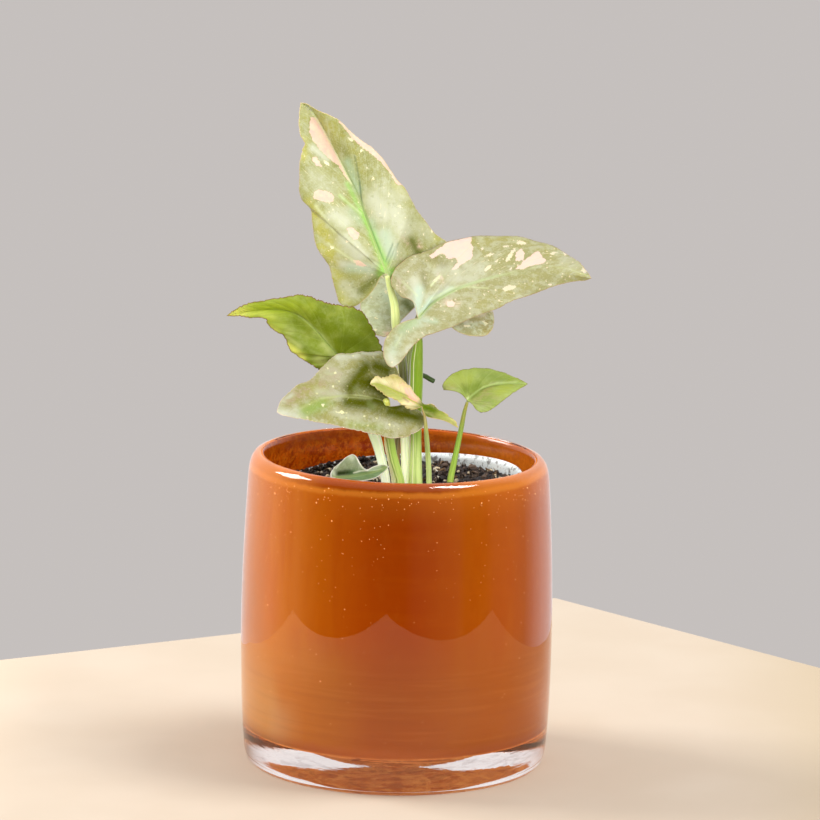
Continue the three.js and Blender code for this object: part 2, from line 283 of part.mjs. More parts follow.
piece('planter_clear_casing', slopeRim(turned([...casingOutside, ...casingInside])), '#e9e2dc', 0.05, { transparent: true, opacity: 0.35 });
piece('planter_amber_glass', slopeRim(turned([...amberOutside, ...amberInside])), '#b8480f', 0.12);

// ---------------------------------------------------------------- plastic nursery pot
// Turned upright from its own foot, then leaned as a whole: linerPose carries it and the soil.
const up = new THREE.Vector3(...LINER_UP).normalize();
const linerTurn = new THREE.Quaternion().setFromUnitVectors(new THREE.Vector3(0, 0, 1), up);
const linerFoot = new THREE.Vector3(...LINER_CENTRE).addScaledVector(up, -LINER_HEIGHT);
const linerPose = new THREE.Matrix4().compose(linerFoot, linerTurn, new THREE.Vector3(1, 1, 1));
const h = LINER_HEIGHT, wallTop = LINER_RIM - 1.4;
let liner = solid(turned([
  [0, 0], [LINER_FOOT - 0.8, 0], [LINER_FOOT, 0.9], [wallTop, h - 5], [LINER_RIM - 0.1, h - 4.7], [LINER_RIM, h - 0.6],
  [LINER_RIM - 0.5, h], [LINER_RIM - 1.3, h], [wallTop - 0.5, h - 1.2], [wallTop - 0.9, h - 5], [LINER_FOOT - 0.8, 1.5], [0, 1.2],
]));
for (let i = 0; i < 8; i++) {
  const a = ((i + 0.5) / 8) * 2 * Math.PI;
  const drill = new THREE.CylinderGeometry(HOLE_RADIUS, HOLE_RADIUS, 6, 8).rotateX(Math.PI / 2)
    .translate(HOLE_CIRCLE * Math.cos(a), HOLE_CIRCLE * Math.sin(a), 0.5);
  liner = liner.subtract(solid(drill));
}
piece('nursery_pot', fromSolid(liner).applyMatrix4(linerPose), '#dfe2e3', 0.45);

// ---------------------------------------------------------------- stems below the soil and their roots
const ROOTS = {
  stem_base_main: { at: [3.2, -1.4, 79.4], size: [8.5, 8.2, 5.6], roots: [[-20, 10, 40], [-10, -22, 34], [24, -20, 44], [28, 15, 36], [2, 25, 48], [-21, -14, 56]] },
  stem_base_right: { at: [17.6, -0.8, 81.6], size: [2.6, 2.6, 3.4], roots: [[33, 5, 56], [22, 21, 60]] },
  stem_base_left: { at: [-21.6, -5.0, 81.6], size: [2.4, 2.4, 3.4], roots: [[-28, 2, 58], [-23, 13, 62]] },
};
function rootBall({ at, size, roots }, grow) {
  let body = solid(new THREE.SphereGeometry(1, 12, 8).rotateX(Math.PI / 2).scale(size[0] + grow, size[1] + grow, size[2] + grow).translate(...at));
  for (const [x, y, z] of roots) {
    const end = new THREE.Vector3(x, y, z).lerp(new THREE.Vector3(...at), -grow / 20).toArray();
    const mid = [at[0] + (x - at[0]) * 0.55, at[1] + (y - at[1]) * 0.45, at[2] + (z - at[2]) * 0.42];
    const out = [at[0] + (x - at[0]) * 0.03, at[1] + (y - at[1]) * 0.03, at[2] - size[2] * 0.3];
    body = body.add(solid(stalk({ path: [out, mid, end], radius: [1.1, 0.9, 0.55] }, { sides: 5, steps: 4, grow })));
  }
  return body;
}

// ---------------------------------------------------------------- potting soil
// Fills the liner to just under its rim, dips round the stems, and has a socket for every stem and root.
const RINGS = 6;
function soilTop(x, y) {
  const r2 = (x - 2) ** 2 + (y - 3) ** 2;
  return h - 2.75 - 0.044 * x - 1.5 * Math.exp(-r2 / 420)
    + 0.55 * Math.sin(0.43 * x + 1.1) * Math.cos(0.37 * y - 0.6) + 0.35 * Math.sin(0.91 * x - 0.77 * y);
}
function soilBody() {
  const xyz = [], index = [], n = 30;
  const insideAt = (z) => LINER_FOOT - 0.8 + (wallTop - 0.9 - (LINER_FOOT - 0.8)) * Math.min(1, (z - 1.5) / (h - 6.5)) - GAP * 1.15;
  xyz.push(0, 0, soilTop(0, 0));
  for (let i = 1; i <= RINGS; i++) for (let k = 0; k < n; k++) {
    const a = (2 * Math.PI * k) / n, r = insideAt(h) * (i / RINGS);
    const x = r * Math.cos(a), y = r * Math.sin(a);
    xyz.push(x, y, Math.min(soilTop(x, y), h - 0.4));
  }
  for (const z of [h - 6, 45, 2.0]) for (let k = 0; k < n; k++) {
    const a = (2 * Math.PI * k) / n, r = insideAt(z);
    xyz.push(r * Math.cos(a), r * Math.sin(a), z);
  }
  const total = RINGS + 3, last = 1 + total * n;
  xyz.push(0, 0, 2.0);
  for (let k = 0; k < n; k++) {
    const k2 = (k + 1) % n;
    index.push(0, 1 + k, 1 + k2);
    for (let i = 0; i < total - 1; i++) {
      const a = 1 + i * n + k, b = 1 + i * n + k2, c = a + n, d = b + n;
      index.push(a, c, d, a, d, b);
    }
    const e = 1 + (total - 1) * n;
    index.push(last, e + k2, e + k);
  }
  const g = new THREE.BufferGeometry();
  g.setAttribute('position', new THREE.BufferAttribute(new Float32Array(xyz), 3));
  g.setIndex(index);
  return g;
}
let soil = solid(soilBody().applyMatrix4(linerPose));
for (const spec of Object.values(ROOTS)) soil = soil.subtract(rootBall(spec, GAP));
// A socket runs a little past the stalk's end, down to the stem base under it.
function deeper({ path, radius }, d) {
  const [p, q] = path.slice(-2).map((v) => new THREE.Vector3(...v));
  const end = q.clone().addScaledVector(q.clone().sub(p).normalize(), d);
  return { path: [...path, end.toArray()], radius: [...radius, radius.at(-1)] };
}
for (const [name, s] of Object.entries(STALKS)) {
  const n = s.path.length;
  if (name !== 'stub') soil = soil.subtract(solid(stalk(deeper(s, 1.6), { grow: GAP * 1.4, sides: 10, steps: 5, from: Math.max(0, (n - 3) / n) })));
}
piece('potting_soil', fromSolid(soil), '#2c231d', 0.95);
for (const [name, spec] of Object.entries(ROOTS)) piece(name, fromSolid(rootBall(spec, 0)), '#cdbb93', 0.7);

// ---------------------------------------------------------------- leaf stalks and blades
const STALK_NAME = (k) => (k === 'sheath' ? 'young_sheath' : k === 'stub' ? 'cut_stalk_stub' : k + '_petiole');
const STALK_COLOUR = {
  leaf_a: '#cfe0a4', leaf_b: '#9cc45c', leaf_c: '#8c7a4c', leaf_d: '#d3e2b4', leaf_e: '#a9c76c', leaf_f: '#b8cf86',
  leaf_h: '#9dbd58', leaf_i: '#7d9a62', sheath: '#dcdcae', stub: '#3f5626',
};
const BLADE_COLOUR = {
  leaf_a: '#a9b183', leaf_b: '#a6ab7c', leaf_c: '#b9bd94', leaf_d: '#7f9a2c', leaf_e: '#8f9468', leaf_f: '#e3cf9c', leaf_h: '#8fb14c', leaf_i: '#5f7d59',
};
const DETAIL = {
  leaf_a: { ribs: 12, fan: 6, across: 4 }, leaf_b: { ribs: 12, fan: 7, across: 4 }, leaf_c: { ribs: 8, fan: 6, across: 3 },
  leaf_d: { ribs: 10, fan: 6, across: 3 }, leaf_e: { ribs: 10, fan: 6, across: 3 }, leaf_f: { ribs: 9, fan: 8, across: 3 },
  leaf_h: { ribs: 8, fan: 5, across: 3 }, leaf_i: { ribs: 10, fan: 2, across: 3 },
};
const START = { leaf_a: 0.035, leaf_b: 0.03, leaf_c: 0.03, leaf_d: 0.03, leaf_e: 0.03, leaf_f: 0.03, leaf_h: 0.04, leaf_i: 0.06, sheath: 0, stub: 0 };
const stalks = {};
for (const [k, s] of Object.entries(STALKS)) {
  stalks[k] = { steps: k === 'leaf_i' || k === 'stub' || k === 'sheath' ? 5 : 12, from: START[k] };
  if (k === 'stub') stalks[k].to = 0.62;
  piece(STALK_NAME(k), stalk(s, stalks[k]), STALK_COLOUR[k], 0.5);
}
for (const [k, b] of Object.entries(BLADES)) {
  let body = solid(blade(b, DETAIL[k]));
  body = body.subtract(solid(stalk(STALKS[k], { ...stalks[k], from: START[k] / 2, grow: GAP })));
  piece(k + '_blade', fromSolid(body), BLADE_COLOUR[k], 0.45);
}

export default object;
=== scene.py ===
"""Arrowhead plant (Syngonium) in a plastic nursery pot, set in a cased-glass cover pot.
Tables are in millimetres in the row frame; every mesh is written in metres."""

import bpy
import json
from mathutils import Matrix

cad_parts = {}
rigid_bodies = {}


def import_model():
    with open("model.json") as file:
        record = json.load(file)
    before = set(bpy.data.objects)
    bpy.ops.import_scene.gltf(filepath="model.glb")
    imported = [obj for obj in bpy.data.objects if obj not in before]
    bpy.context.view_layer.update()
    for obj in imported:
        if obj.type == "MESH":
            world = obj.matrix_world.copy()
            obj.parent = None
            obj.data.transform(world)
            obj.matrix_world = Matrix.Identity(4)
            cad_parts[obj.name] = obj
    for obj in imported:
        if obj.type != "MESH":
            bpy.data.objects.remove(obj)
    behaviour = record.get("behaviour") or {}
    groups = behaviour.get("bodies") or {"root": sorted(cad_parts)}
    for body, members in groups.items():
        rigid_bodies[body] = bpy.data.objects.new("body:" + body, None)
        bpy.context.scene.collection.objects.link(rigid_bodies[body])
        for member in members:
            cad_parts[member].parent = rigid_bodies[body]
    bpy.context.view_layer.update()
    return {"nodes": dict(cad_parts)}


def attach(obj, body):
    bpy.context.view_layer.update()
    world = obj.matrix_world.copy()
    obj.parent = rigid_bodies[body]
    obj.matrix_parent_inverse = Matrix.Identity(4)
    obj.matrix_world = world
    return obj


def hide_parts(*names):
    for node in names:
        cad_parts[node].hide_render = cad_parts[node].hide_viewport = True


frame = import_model()

import json
import math

import bpy
import numpy as np
from mathutils import Matrix, Vector
from mathutils import noise as mnoise
from mathutils.kdtree import KDTree

MM = 0.001

# Leaf tables: midrib from the stalk junction to the tip, margin from the tip to the lobe corner,
# sinus edge from the junction to the lobe corner, for the left (L) and right (R) halves.
LEAVES = {
    "leaf_a": dict(n=(-0.100,-0.902,0.421), reach=(0.5,0.56), arch=(0.07,0.06),
        mid=[(-5.3,0.0,173.9),(-7.9,3.5,179.6),(-10.6,7.3,186.0),(-13.0,10.5,192.2),(-15.2,13.0,198.2),(-18.2,15.6,204.2),(-21.4,17.5,209.8),(-25.1,19.2,215.9),(-28.3,20.6,221.7),(-31.2,21.1,226.5),(-34.1,20.8,229.7),(-36.7,20.3,231.3)],
        mL=[(-36.7,20.3,231.3),(-37.1,18.2,227.9),(-37.1,16.3,223.9),(-36.6,15.2,220.5),(-35.0,14.7,217.6),(-35.8,14.3,215.4),(-36.5,13.5,211.2),(-36.7,12.0,205.8),(-36.5,11.1,201.7),(-35.5,10.5,198.2),(-33.8,10.4,196.2),(-32.4,10.6,194.7),(-31.7,9.4,190.0),(-31.1,8.2,185.2),(-29.7,7.3,181.5),(-27.5,6.9,178.0),(-25.4,7.1,174.8),(-24.4,7.3,170.5),(-23.3,7.4,166.3),(-21.7,7.3,162.4),(-19.2,6.3,160.8)],
        sL=[(-5.3,0.0,173.9),(-5.8,0.2,174.2),(-7.6,2.4,172.7),(-9.1,2.9,169.4),(-11.2,3.6,166.4),(-13.3,4.4,164.1),(-16.0,5.3,161.8),(-19.2,6.3,160.8)],
        mR=[(-36.7,20.3,231.3),(-34.8,19.9,231.1),(-32.6,19.2,230.1),(-29.8,17.8,228.8),(-26.2,16.7,227.4),(-23.4,16.3,226.1),(-21.3,15.8,224.4),(-18.4,15.3,221.7),(-14.9,14.7,219.0),(-11.3,14.3,216.7),(-8.5,13.7,214.0),(-6.0,13.1,210.9),(-3.8,12.5,207.9),(-2.0,12.2,205.4),(0.1,12.0,203.2),(1.6,11.8,200.8),(3.4,11.2,197.7),(5.9,11.7,193.8),(8.8,13.0,189.7),(11.6,14.2,186.4),(14.5,15.0,184.2),(16.3,14.9,182.1),(17.1,14.4,179.0),(16.1,13.2,174.9),(13.3,11.8,171.1),(9.5,9.9,168.5),(5.3,7.8,167.7)],
        sR=[(-5.3,0.0,173.9),(-4.8,-0.3,173.4),(-4.2,0.1,172.4),(-2.1,2.3,170.7),(1.0,6.6,168.6),(5.3,7.8,167.7)],
    ),
    "leaf_b": dict(n=(0.060,-0.621,0.781), reach=(0.52,0.58), arch=(0.06,0.05),
        mid=[(5.7,-14.0,161.1),(8.5,-10.8,163.9),(11.9,-8.0,166.3),(15.7,-5.8,168.3),(19.7,-3.8,170.0),(23.7,-2.5,171.4),(28.6,-1.2,172.9),(33.8,-0.2,174.2),(41.1,-0.6,175.3),(49.8,-1.9,176.0),(56.7,-4.5,176.2),(61.8,-7.9,176.0),(65.7,-10.5,175.6)],
        mL=[(65.7,-10.5,175.6),(64.6,-6.4,177.0),(62.7,-1.5,178.6),(60.0,3.3,180.2),(57.3,7.1,181.5),(53.8,10.1,182.8),(50.4,13.0,183.8),(46.2,14.9,184.7),(42.0,15.9,185.4),(37.0,16.5,185.7),(32.1,16.2,185.9),(27.2,15.5,185.7),(22.9,14.0,185.4),(18.7,12.4,184.9),(15.9,10.8,184.3),(12.4,8.3,183.1),(8.9,5.8,181.8),(5.4,3.6,180.9),(1.9,1.3,179.8),(-0.8,-1.5,178.2),(-2.9,-5.0,176.1),(-3.9,-8.0,173.8),(-3.5,-9.5,171.6),(-1.7,-10.2,169.5)],
        sL=[(5.7,-14.0,161.1),(5.5,-13.7,161.5),(5.2,-12.1,163.4),(4.4,-10.5,165.7),(2.5,-10.2,167.2),(0.1,-10.7,168.0),(-1.7,-10.2,169.5)],
        mR=[(65.7,-10.5,175.6),(63.5,-8.4,174.5),(60.1,-6.7,173.8),(56.7,-5.2,172.8),(53.3,-4.5,171.7),(49.9,-4.1,170.3),(46.4,-3.9,168.8),(42.9,-4.1,167.6),(39.5,-4.5,166.5),(36.7,-5.0,165.3),(34.3,-6.2,164.1),(31.5,-7.1,163.1),(27.3,-8.7,161.7),(23.8,-10.4,160.6),(20.3,-12.4,159.3),(16.9,-14.4,158.0),(13.4,-15.8,157.1),(10.0,-17.9,156.2),(7.2,-20.1,155.2),(4.5,-22.5,153.4),(2.8,-24.5,151.5),(1.1,-26.2,149.3),(-0.9,-27.0,147.3),(-3.0,-27.4,146.2),(-4.7,-26.5,147.0),(-6.0,-25.0,149.3)],
        sR=[(5.7,-14.0,161.1),(5.0,-14.1,161.1),(3.0,-14.4,160.7),(0.2,-15.3,159.8),(-2.2,-16.8,158.5),(-4.2,-18.7,156.6),(-5.6,-20.8,154.6),(-6.1,-22.8,152.1),(-6.0,-25.0,149.3)],
    ),
    "leaf_c": dict(n=(0.050,-0.621,0.782), reach=(0.55,0.58), arch=(0.05,0.05),
        mid=[(7.9,22.0,161.4),(7.1,27.3,165.2),(6.0,33.3,169.6),(4.5,39.2,174.4),(2.9,44.6,179.3),(1.0,49.8,184.9),(-1.2,52.8,190.3)],
        mL=[(-1.2,52.8,190.3),(-3.6,48.9,186.8),(-6.1,44.9,183.4),(-8.2,41.2,179.6),(-9.9,37.5,175.8),(-11.5,33.8,172.1),(-12.9,30.2,168.3),(-14.2,25.6,164.7),(-14.8,21.1,161.2),(-14.3,16.2,157.7),(-13.2,11.7,154.6),(-11.0,8.0,152.5),(-8.5,6.0,151.2),(-6.0,5.4,151.0)],
        sL=[(7.9,22.0,161.4),(6.5,21.0,160.7),(4.7,19.1,159.3),(2.3,15.8,157.4),(-0.2,12.6,155.4),(-2.2,8.9,153.1),(-3.9,6.5,151.8),(-6.0,5.4,151.0)],
        mR=[(-1.2,52.8,190.3),(2.4,50.9,188.1),(6.4,48.3,185.3),(10.4,45.8,182.1),(14.4,43.0,178.6),(18.0,40.1,175.2),(21.7,36.4,171.5),(25.3,32.3,167.5),(28.1,28.0,164.0),(30.6,23.3,160.5),(32.5,18.9,157.3),(32.7,15.1,154.8),(32.0,11.9,152.8),(30.2,9.6,151.6),(27.7,8.4,151.2),(24.2,7.9,151.1)],
        sR=[(7.9,22.0,161.4),(8.9,21.3,160.8),(10.4,20.0,159.7),(12.9,17.1,157.7),(15.7,13.7,155.3),(18.2,10.8,153.3),(21.0,8.7,152.0),(24.2,7.9,151.1)],
    ),
    "leaf_d": dict(n=(-0.151,-0.987,0.050), reach=(0.62,0.55), arch=(0.08,0.08),
        mid=[(-21.7,2.5,144.0),(-23.9,2.9,146.4),(-26.4,3.5,149.1),(-29.2,3.6,152.4),(-32.1,3.7,155.4),(-35.2,3.3,157.9),(-38.4,2.8,159.5),(-42.2,2.0,160.5),(-46.8,0.7,160.8),(-51.9,-1.1,160.5),(-57.1,-3.3,159.9),(-61.0,-5.7,159.4)],
        mL=[(-61.0,-5.7,159.4),(-58.8,-5.1,159.3),(-56.0,-4.0,159.0),(-52.9,-3.0,158.3),(-50.1,-2.0,158.3),(-48.1,-1.3,158.0),(-46.7,-0.6,155.9),(-45.3,0.1,154.0),(-43.2,0.7,152.7),(-41.4,0.9,152.0),(-40.3,1.1,149.6),(-38.9,1.2,146.6),(-36.4,1.7,144.2),(-33.6,1.7,142.5),(-30.8,1.7,140.8),(-28.3,1.8,139.2),(-25.8,1.8,138.0),(-23.4,1.9,137.6)],
        sL=[(-21.7,2.5,144.0),(-21.5,2.4,143.3),(-21.3,2.3,141.5),(-21.6,2.2,139.0),(-23.4,1.9,137.6)],
        mR=[(-61.0,-5.7,159.4),(-59.1,-4.9,161.0),(-57.1,-4.2,162.2),(-54.4,-3.1,163.3),(-51.3,-2.0,164.0),(-47.8,-1.0,164.4),(-44.3,-0.0,164.9),(-40.9,0.5,165.4),(-37.4,1.0,166.1),(-34.6,1.6,166.1),(-31.8,1.6,165.5),(-29.3,1.7,164.5),(-26.5,1.7,163.5),(-23.4,1.7,162.9),(-19.8,1.6,162.4),(-16.3,1.6,161.8),(-13.9,1.6,160.5),(-11.7,1.7,157.5),(-9.6,1.6,153.6),(-7.8,1.2,150.5),(-6.3,0.8,147.4),(-5.9,0.6,144.2),(-7.3,0.7,141.4),(-10.4,0.9,140.2)],
        sR=[(-21.7,2.5,144.0),(-20.7,2.3,143.7),(-18.2,1.9,142.7),(-14.3,1.4,140.7),(-10.4,0.9,140.2)],
    ),
    "leaf_e": dict(n=(0.163,-0.611,0.774), reach=(0.58,0.58), arch=(0.07,0.07),
        mid=[(-6.0,-14.0,131.7),(-9.1,-14.1,132.6),(-12.6,-14.5,133.3),(-16.8,-15.5,133.8),(-20.9,-16.9,133.8),(-25.4,-18.8,133.4),(-29.8,-20.9,132.7),(-34.3,-23.2,131.6),(-38.7,-25.2,130.5),(-42.5,-26.4,129.6)],
        mL=[(-42.5,-26.4,129.6),(-41.1,-26.6,128.7),(-38.0,-26.5,128.0),(-33.8,-26.0,127.1),(-29.0,-25.5,126.2),(-23.4,-25.0,125.1),(-18.6,-24.8,124.1),(-14.4,-24.7,123.1),(-9.6,-24.4,122.1),(-4.7,-24.2,121.0),(-0.9,-23.7,120.4),(1.6,-22.7,120.7),(4.3,-21.2,121.5),(7.1,-19.4,122.7),(8.6,-17.3,124.5),(8.4,-15.4,126.4)],
        sL=[(-6.0,-14.0,131.7),(-5.2,-14.7,131.0),(-3.8,-15.3,130.2),(-1.4,-14.6,130.2),(1.0,-13.5,130.3),(4.2,-13.5,129.5),(7.0,-14.0,128.2),(8.4,-15.4,126.4)],
        mR=[(-42.5,-26.4,129.6),(-42.3,-24.7,130.7),(-41.6,-22.6,132.1),(-40.3,-20.3,133.8),(-38.3,-17.9,135.5),(-35.6,-15.8,137.1),(-32.8,-14.2,138.2),(-30.5,-12.5,139.5),(-28.4,-10.4,141.3),(-26.4,-8.2,143.4),(-24.4,-6.4,145.0),(-22.0,-4.9,146.2),(-17.8,-3.8,146.6),(-13.6,-3.0,146.9),(-9.4,-2.3,147.0),(-6.6,-2.0,146.7),(-4.1,-3.0,144.9),(-2.0,-4.4,142.4),(-0.5,-6.0,139.9),(-0.2,-7.8,137.4)],
        sR=[(-6.0,-14.0,131.7),(-4.6,-13.0,132.3),(-2.9,-11.4,133.6),(-1.2,-9.8,135.2),(-0.2,-7.8,137.4)],
    ),
    "leaf_f": dict(n=(0.100,-0.796,0.597), reach=(0.78,0.545), arch=(0.06,0.1),
        mid=[(7.5,-18.0,130.7),(4.5,-17.2,132.3),(1.3,-16.9,133.9),(-1.8,-16.4,135.6),(-5.0,-16.2,137.1),(-7.8,-16.3,138.0),(-10.6,-16.9,138.2)],
        mL=[(-10.6,-16.9,138.2),(-9.1,-17.5,137.4),(-7.6,-18.0,136.3),(-6.0,-18.4,135.1),(-4.2,-18.4,134.1),(-2.3,-18.4,133.3),(-0.6,-18.5,132.3),(0.7,-18.8,131.3),(2.3,-19.1,130.2),(4.0,-18.9,129.7)],
        sL=[(7.5,-18.0,130.7),(5.7,-18.4,130.0),(4.0,-18.9,129.7)],
        mR=[(-10.6,-16.9,138.2),(-9.9,-16.4,139.7),(-8.2,-15.6,140.8),(-6.8,-15.7,139.8),(-5.4,-15.0,140.8),(-3.0,-14.4,141.5),(-0.2,-14.4,140.8),(1.9,-15.2,138.8),(4.1,-15.8,136.3),(6.3,-16.8,133.5),(7.7,-17.0,132.2),(9.1,-16.8,131.5),(10.8,-16.3,131.2),(12.5,-16.1,130.6),(13.9,-16.2,129.4),(15.5,-16.4,128.2),(17.3,-16.6,127.0),(19.0,-17.1,125.4),(20.6,-17.8,123.3)],
        sR=[(7.5,-18.0,130.7),(8.1,-18.8,128.9),(9.3,-19.2,127.5),(11.3,-18.9,126.8),(14.0,-18.2,126.3),(16.4,-17.9,125.4),(18.7,-17.9,124.2),(20.6,-17.8,123.3)],
    ),
    "leaf_h": dict(n=(0.180,-0.701,0.691), reach=(0.55,0.62), arch=(0.06,0.06),
        mid=[(23.6,-4.0,130.3),(25.5,-1.6,132.0),(28.3,0.9,133.5),(31.5,2.5,134.5),(35.0,3.1,135.0),(40.3,2.9,135.4),(44.8,1.9,135.6)],
        mL=[(44.8,1.9,135.6),(42.4,3.2,136.7),(39.2,4.5,137.9),(35.0,5.4,139.2),(31.4,5.7,140.0),(27.9,5.2,140.4),(24.4,4.2,140.3),(20.9,2.6,139.9),(18.4,1.2,139.0),(16.3,-0.8,137.6),(14.8,-2.5,135.7),(15.1,-3.5,134.0)],
        sL=[(23.6,-4.0,130.3),(22.7,-3.3,131.2),(21.3,-2.5,132.4),(19.5,-2.4,133.2),(17.1,-2.7,133.7),(15.1,-3.5,134.0)],
        mR=[(44.8,1.9,135.6),(42.0,0.3,134.1),(39.2,-1.1,132.5),(36.4,-2.4,130.5),(33.6,-3.9,128.5),(30.8,-5.0,126.9),(28.4,-5.6,126.5)],
        sR=[(23.6,-4.0,130.3),(24.3,-4.2,129.9),(25.4,-4.5,129.0),(26.6,-5.2,127.5),(28.4,-5.6,126.5)],
    ),
    "leaf_i": dict(n=(-0.100,-0.619,0.779), reach=(0.85,0.85), arch=(0.06,0.06),
        mid=[(-22.8,-6.0,102.3),(-20.3,-6.2,102.6),(-17.1,-6.6,103.0),(-14.0,-7.1,103.6),(-10.8,-7.4,104.4),(-8.1,-7.5,105.3),(-5.6,-7.3,106.2),(-3.5,-7.0,107.0)],
        mL=[(-3.5,-7.0,107.0),(-5.1,-6.4,107.4),(-6.9,-6.3,107.4),(-9.0,-6.6,106.8),(-10.7,-7.3,106.0),(-11.9,-7.5,105.9),(-13.0,-6.7,106.8),(-14.1,-4.7,108.4),(-15.0,-3.0,109.5),(-16.4,-1.8,110.1),(-18.4,-2.0,109.2),(-20.4,-2.9,107.5),(-22.5,-3.5,105.8),(-23.9,-4.6,104.0),(-24.0,-5.7,102.4)],
        sL=[(-22.8,-6.0,102.3),(-24.0,-5.7,102.4)],
        mR=[(-3.5,-7.0,107.0),(-4.2,-7.8,106.0),(-5.9,-8.6,104.5),(-8.4,-9.2,103.1),(-11.5,-9.0,102.2),(-15.0,-8.4,101.7),(-18.5,-7.6,101.6),(-21.3,-6.9,101.8)],
        sR=[(-22.8,-6.0,102.3),(-21.3,-6.9,101.8)],
    ),
}
STALKS = {
    "leaf_a": dict(path=[(-5.2,0.0,173.5),(-4.5,0.2,170.6),(-3.3,0.6,166.3),(-2.4,0.9,162.8),(-1.8,1.2,155.6),(-0.4,1.4,148.1),(0.7,1.5,139.9),(1.5,1.5,129.2),(2.0,1.3,118.5),(2.3,1.1,108.5),(2.7,1.0,99.8),(3.2,1.0,86.0)], radius=(1.15, 1.35, 1.55, 1.72, 1.75, 1.75, 1.80, 1.85, 1.85, 1.80, 1.80, 1.53)),
    "leaf_b": dict(path=[(5.8,-13.0,160.4),(6.0,-12.0,157.0),(6.0,-10.3,152.1),(5.6,-8.0,145.3),(5.6,-5.6,136.0),(5.6,-4.0,126.0),(5.8,-3.2,115.9),(5.9,-2.9,107.9),(5.9,-2.7,100.7),(6.2,-2.6,86.0)], radius=(1.15, 1.35, 1.80, 2.25, 2.35, 2.10, 1.95, 2.20, 2.50, 2.12)),
    "leaf_c": dict(path=[(7.7,22.5,160.8),(6.2,22.0,156.4),(4.2,19.5,149.6),(2.5,16.5,141.4),(2.0,13.5,132.3),(0.7,11.0,123.7),(-0.7,8.5,114.1),(-0.9,7.0,106.5),(-0.5,6.3,99.4),(0.6,5.6,86.0)], radius=(0.95, 1.00, 1.00, 1.05, 1.10, 1.10, 1.15, 1.25, 1.30, 1.10)),
    "leaf_d": dict(path=[(-21.5,2.6,143.1),(-18.8,3.0,136.8),(-15.5,3.2,129.6),(-11.9,3.3,122.2),(-8.6,3.3,115.4),(-6.6,3.2,108.6),(-4.7,3.1,100.0),(-3.6,3.0,86.0)], radius=(1.00, 1.20, 1.45, 1.80, 2.10, 1.70, 1.70, 1.44)),
    "leaf_e": dict(path=[(-4.8,-15.0,132.4),(-4.6,-14.2,130.5),(-4.4,-12.6,127.6),(-3.9,-11.2,121.6),(-3.1,-9.8,116.3),(-2.0,-8.4,110.7),(-0.6,-7.5,105.9),(0.6,-7.0,101.5),(1.6,-6.6,86.0)], radius=(1.15, 1.30, 1.15, 1.35, 1.50, 1.50, 1.50, 1.50, 1.27)),
    "leaf_f": dict(path=[(7.8,-18.0,130.0),(8.7,-19.6,127.0),(9.1,-19.4,123.5),(9.5,-16.6,118.7),(10.0,-12.0,112.4),(10.4,-9.4,107.2),(10.6,-7.4,101.8),(11.2,-6.8,86.0)], radius=(0.50, 0.62, 0.75, 0.90, 0.95, 0.97, 1.00, 0.85)),
    "leaf_h": dict(path=[(23.5,-3.8,129.8),(22.6,-3.4,126.2),(21.6,-2.9,120.4),(20.4,-2.3,113.8),(19.3,-1.8,107.9),(18.1,-1.2,100.6),(17.6,-0.8,86.0)], radius=(0.72, 0.80, 0.90, 1.00, 1.10, 1.20, 1.02)),
    "leaf_i": dict(path=[(-22.9,-6.0,102.0),(-22.5,-5.8,100.9),(-21.6,-5.0,86.0)], radius=(0.65, 0.80, 0.68)),
    "sheath": dict(path=[(-5.4,-5.2,118.2),(-4.7,-4.8,113.9),(-3.6,-4.5,109.5),(-2.6,-4.2,105.2),(-1.8,-4.0,100.8),(-1.6,-3.6,86.0)], radius=(0.55, 0.65, 0.75, 0.80, 0.85, 0.72)),
    "stub": dict(path=[(11.8,4.5,135.5),(10.4,4.2,136.3),(8.9,3.6,137.3),(7.2,2.2,138.1),(5.6,-0.5,138.8)], radius=(0.85, 0.90, 0.90, 0.85, 0.80)),
}

# ---------------------------------------------------------------- camera model
# The viewing position, used for the camera and for the few markings measured in view units.
VIEW = dict(at=(0.0, -1600.0, 441.0), pan=0.0022, tilt=math.radians(11.14), roll=math.radians(0.97), focal=4642.0)


def view_axes():
    p, t, r = VIEW["pan"], VIEW["tilt"], VIEW["roll"]
    fw = np.array([math.sin(p) * math.cos(t), math.cos(p) * math.cos(t), -math.sin(t)])
    right = np.cross(fw, [0, 0, 1]); right /= np.linalg.norm(right)
    up = np.cross(right, fw)
    return fw, right * math.cos(r) + up * math.sin(r), -right * math.sin(r) + up * math.cos(r)


def to_view(points):
    fw, right, up = view_axes()
    d = np.asarray(points, float) - np.array(VIEW["at"])
    z = d @ fw
    return np.stack([410 + VIEW["focal"] * (d @ right) / z, 410 - VIEW["focal"] * (d @ up) / z], -1)


# ---------------------------------------------------------------- numeric helpers
def smooth(a, b, x):
    t = np.clip((np.asarray(x, float) - a) / (b - a), 0, 1)
    return t * t * (3 - 2 * t)


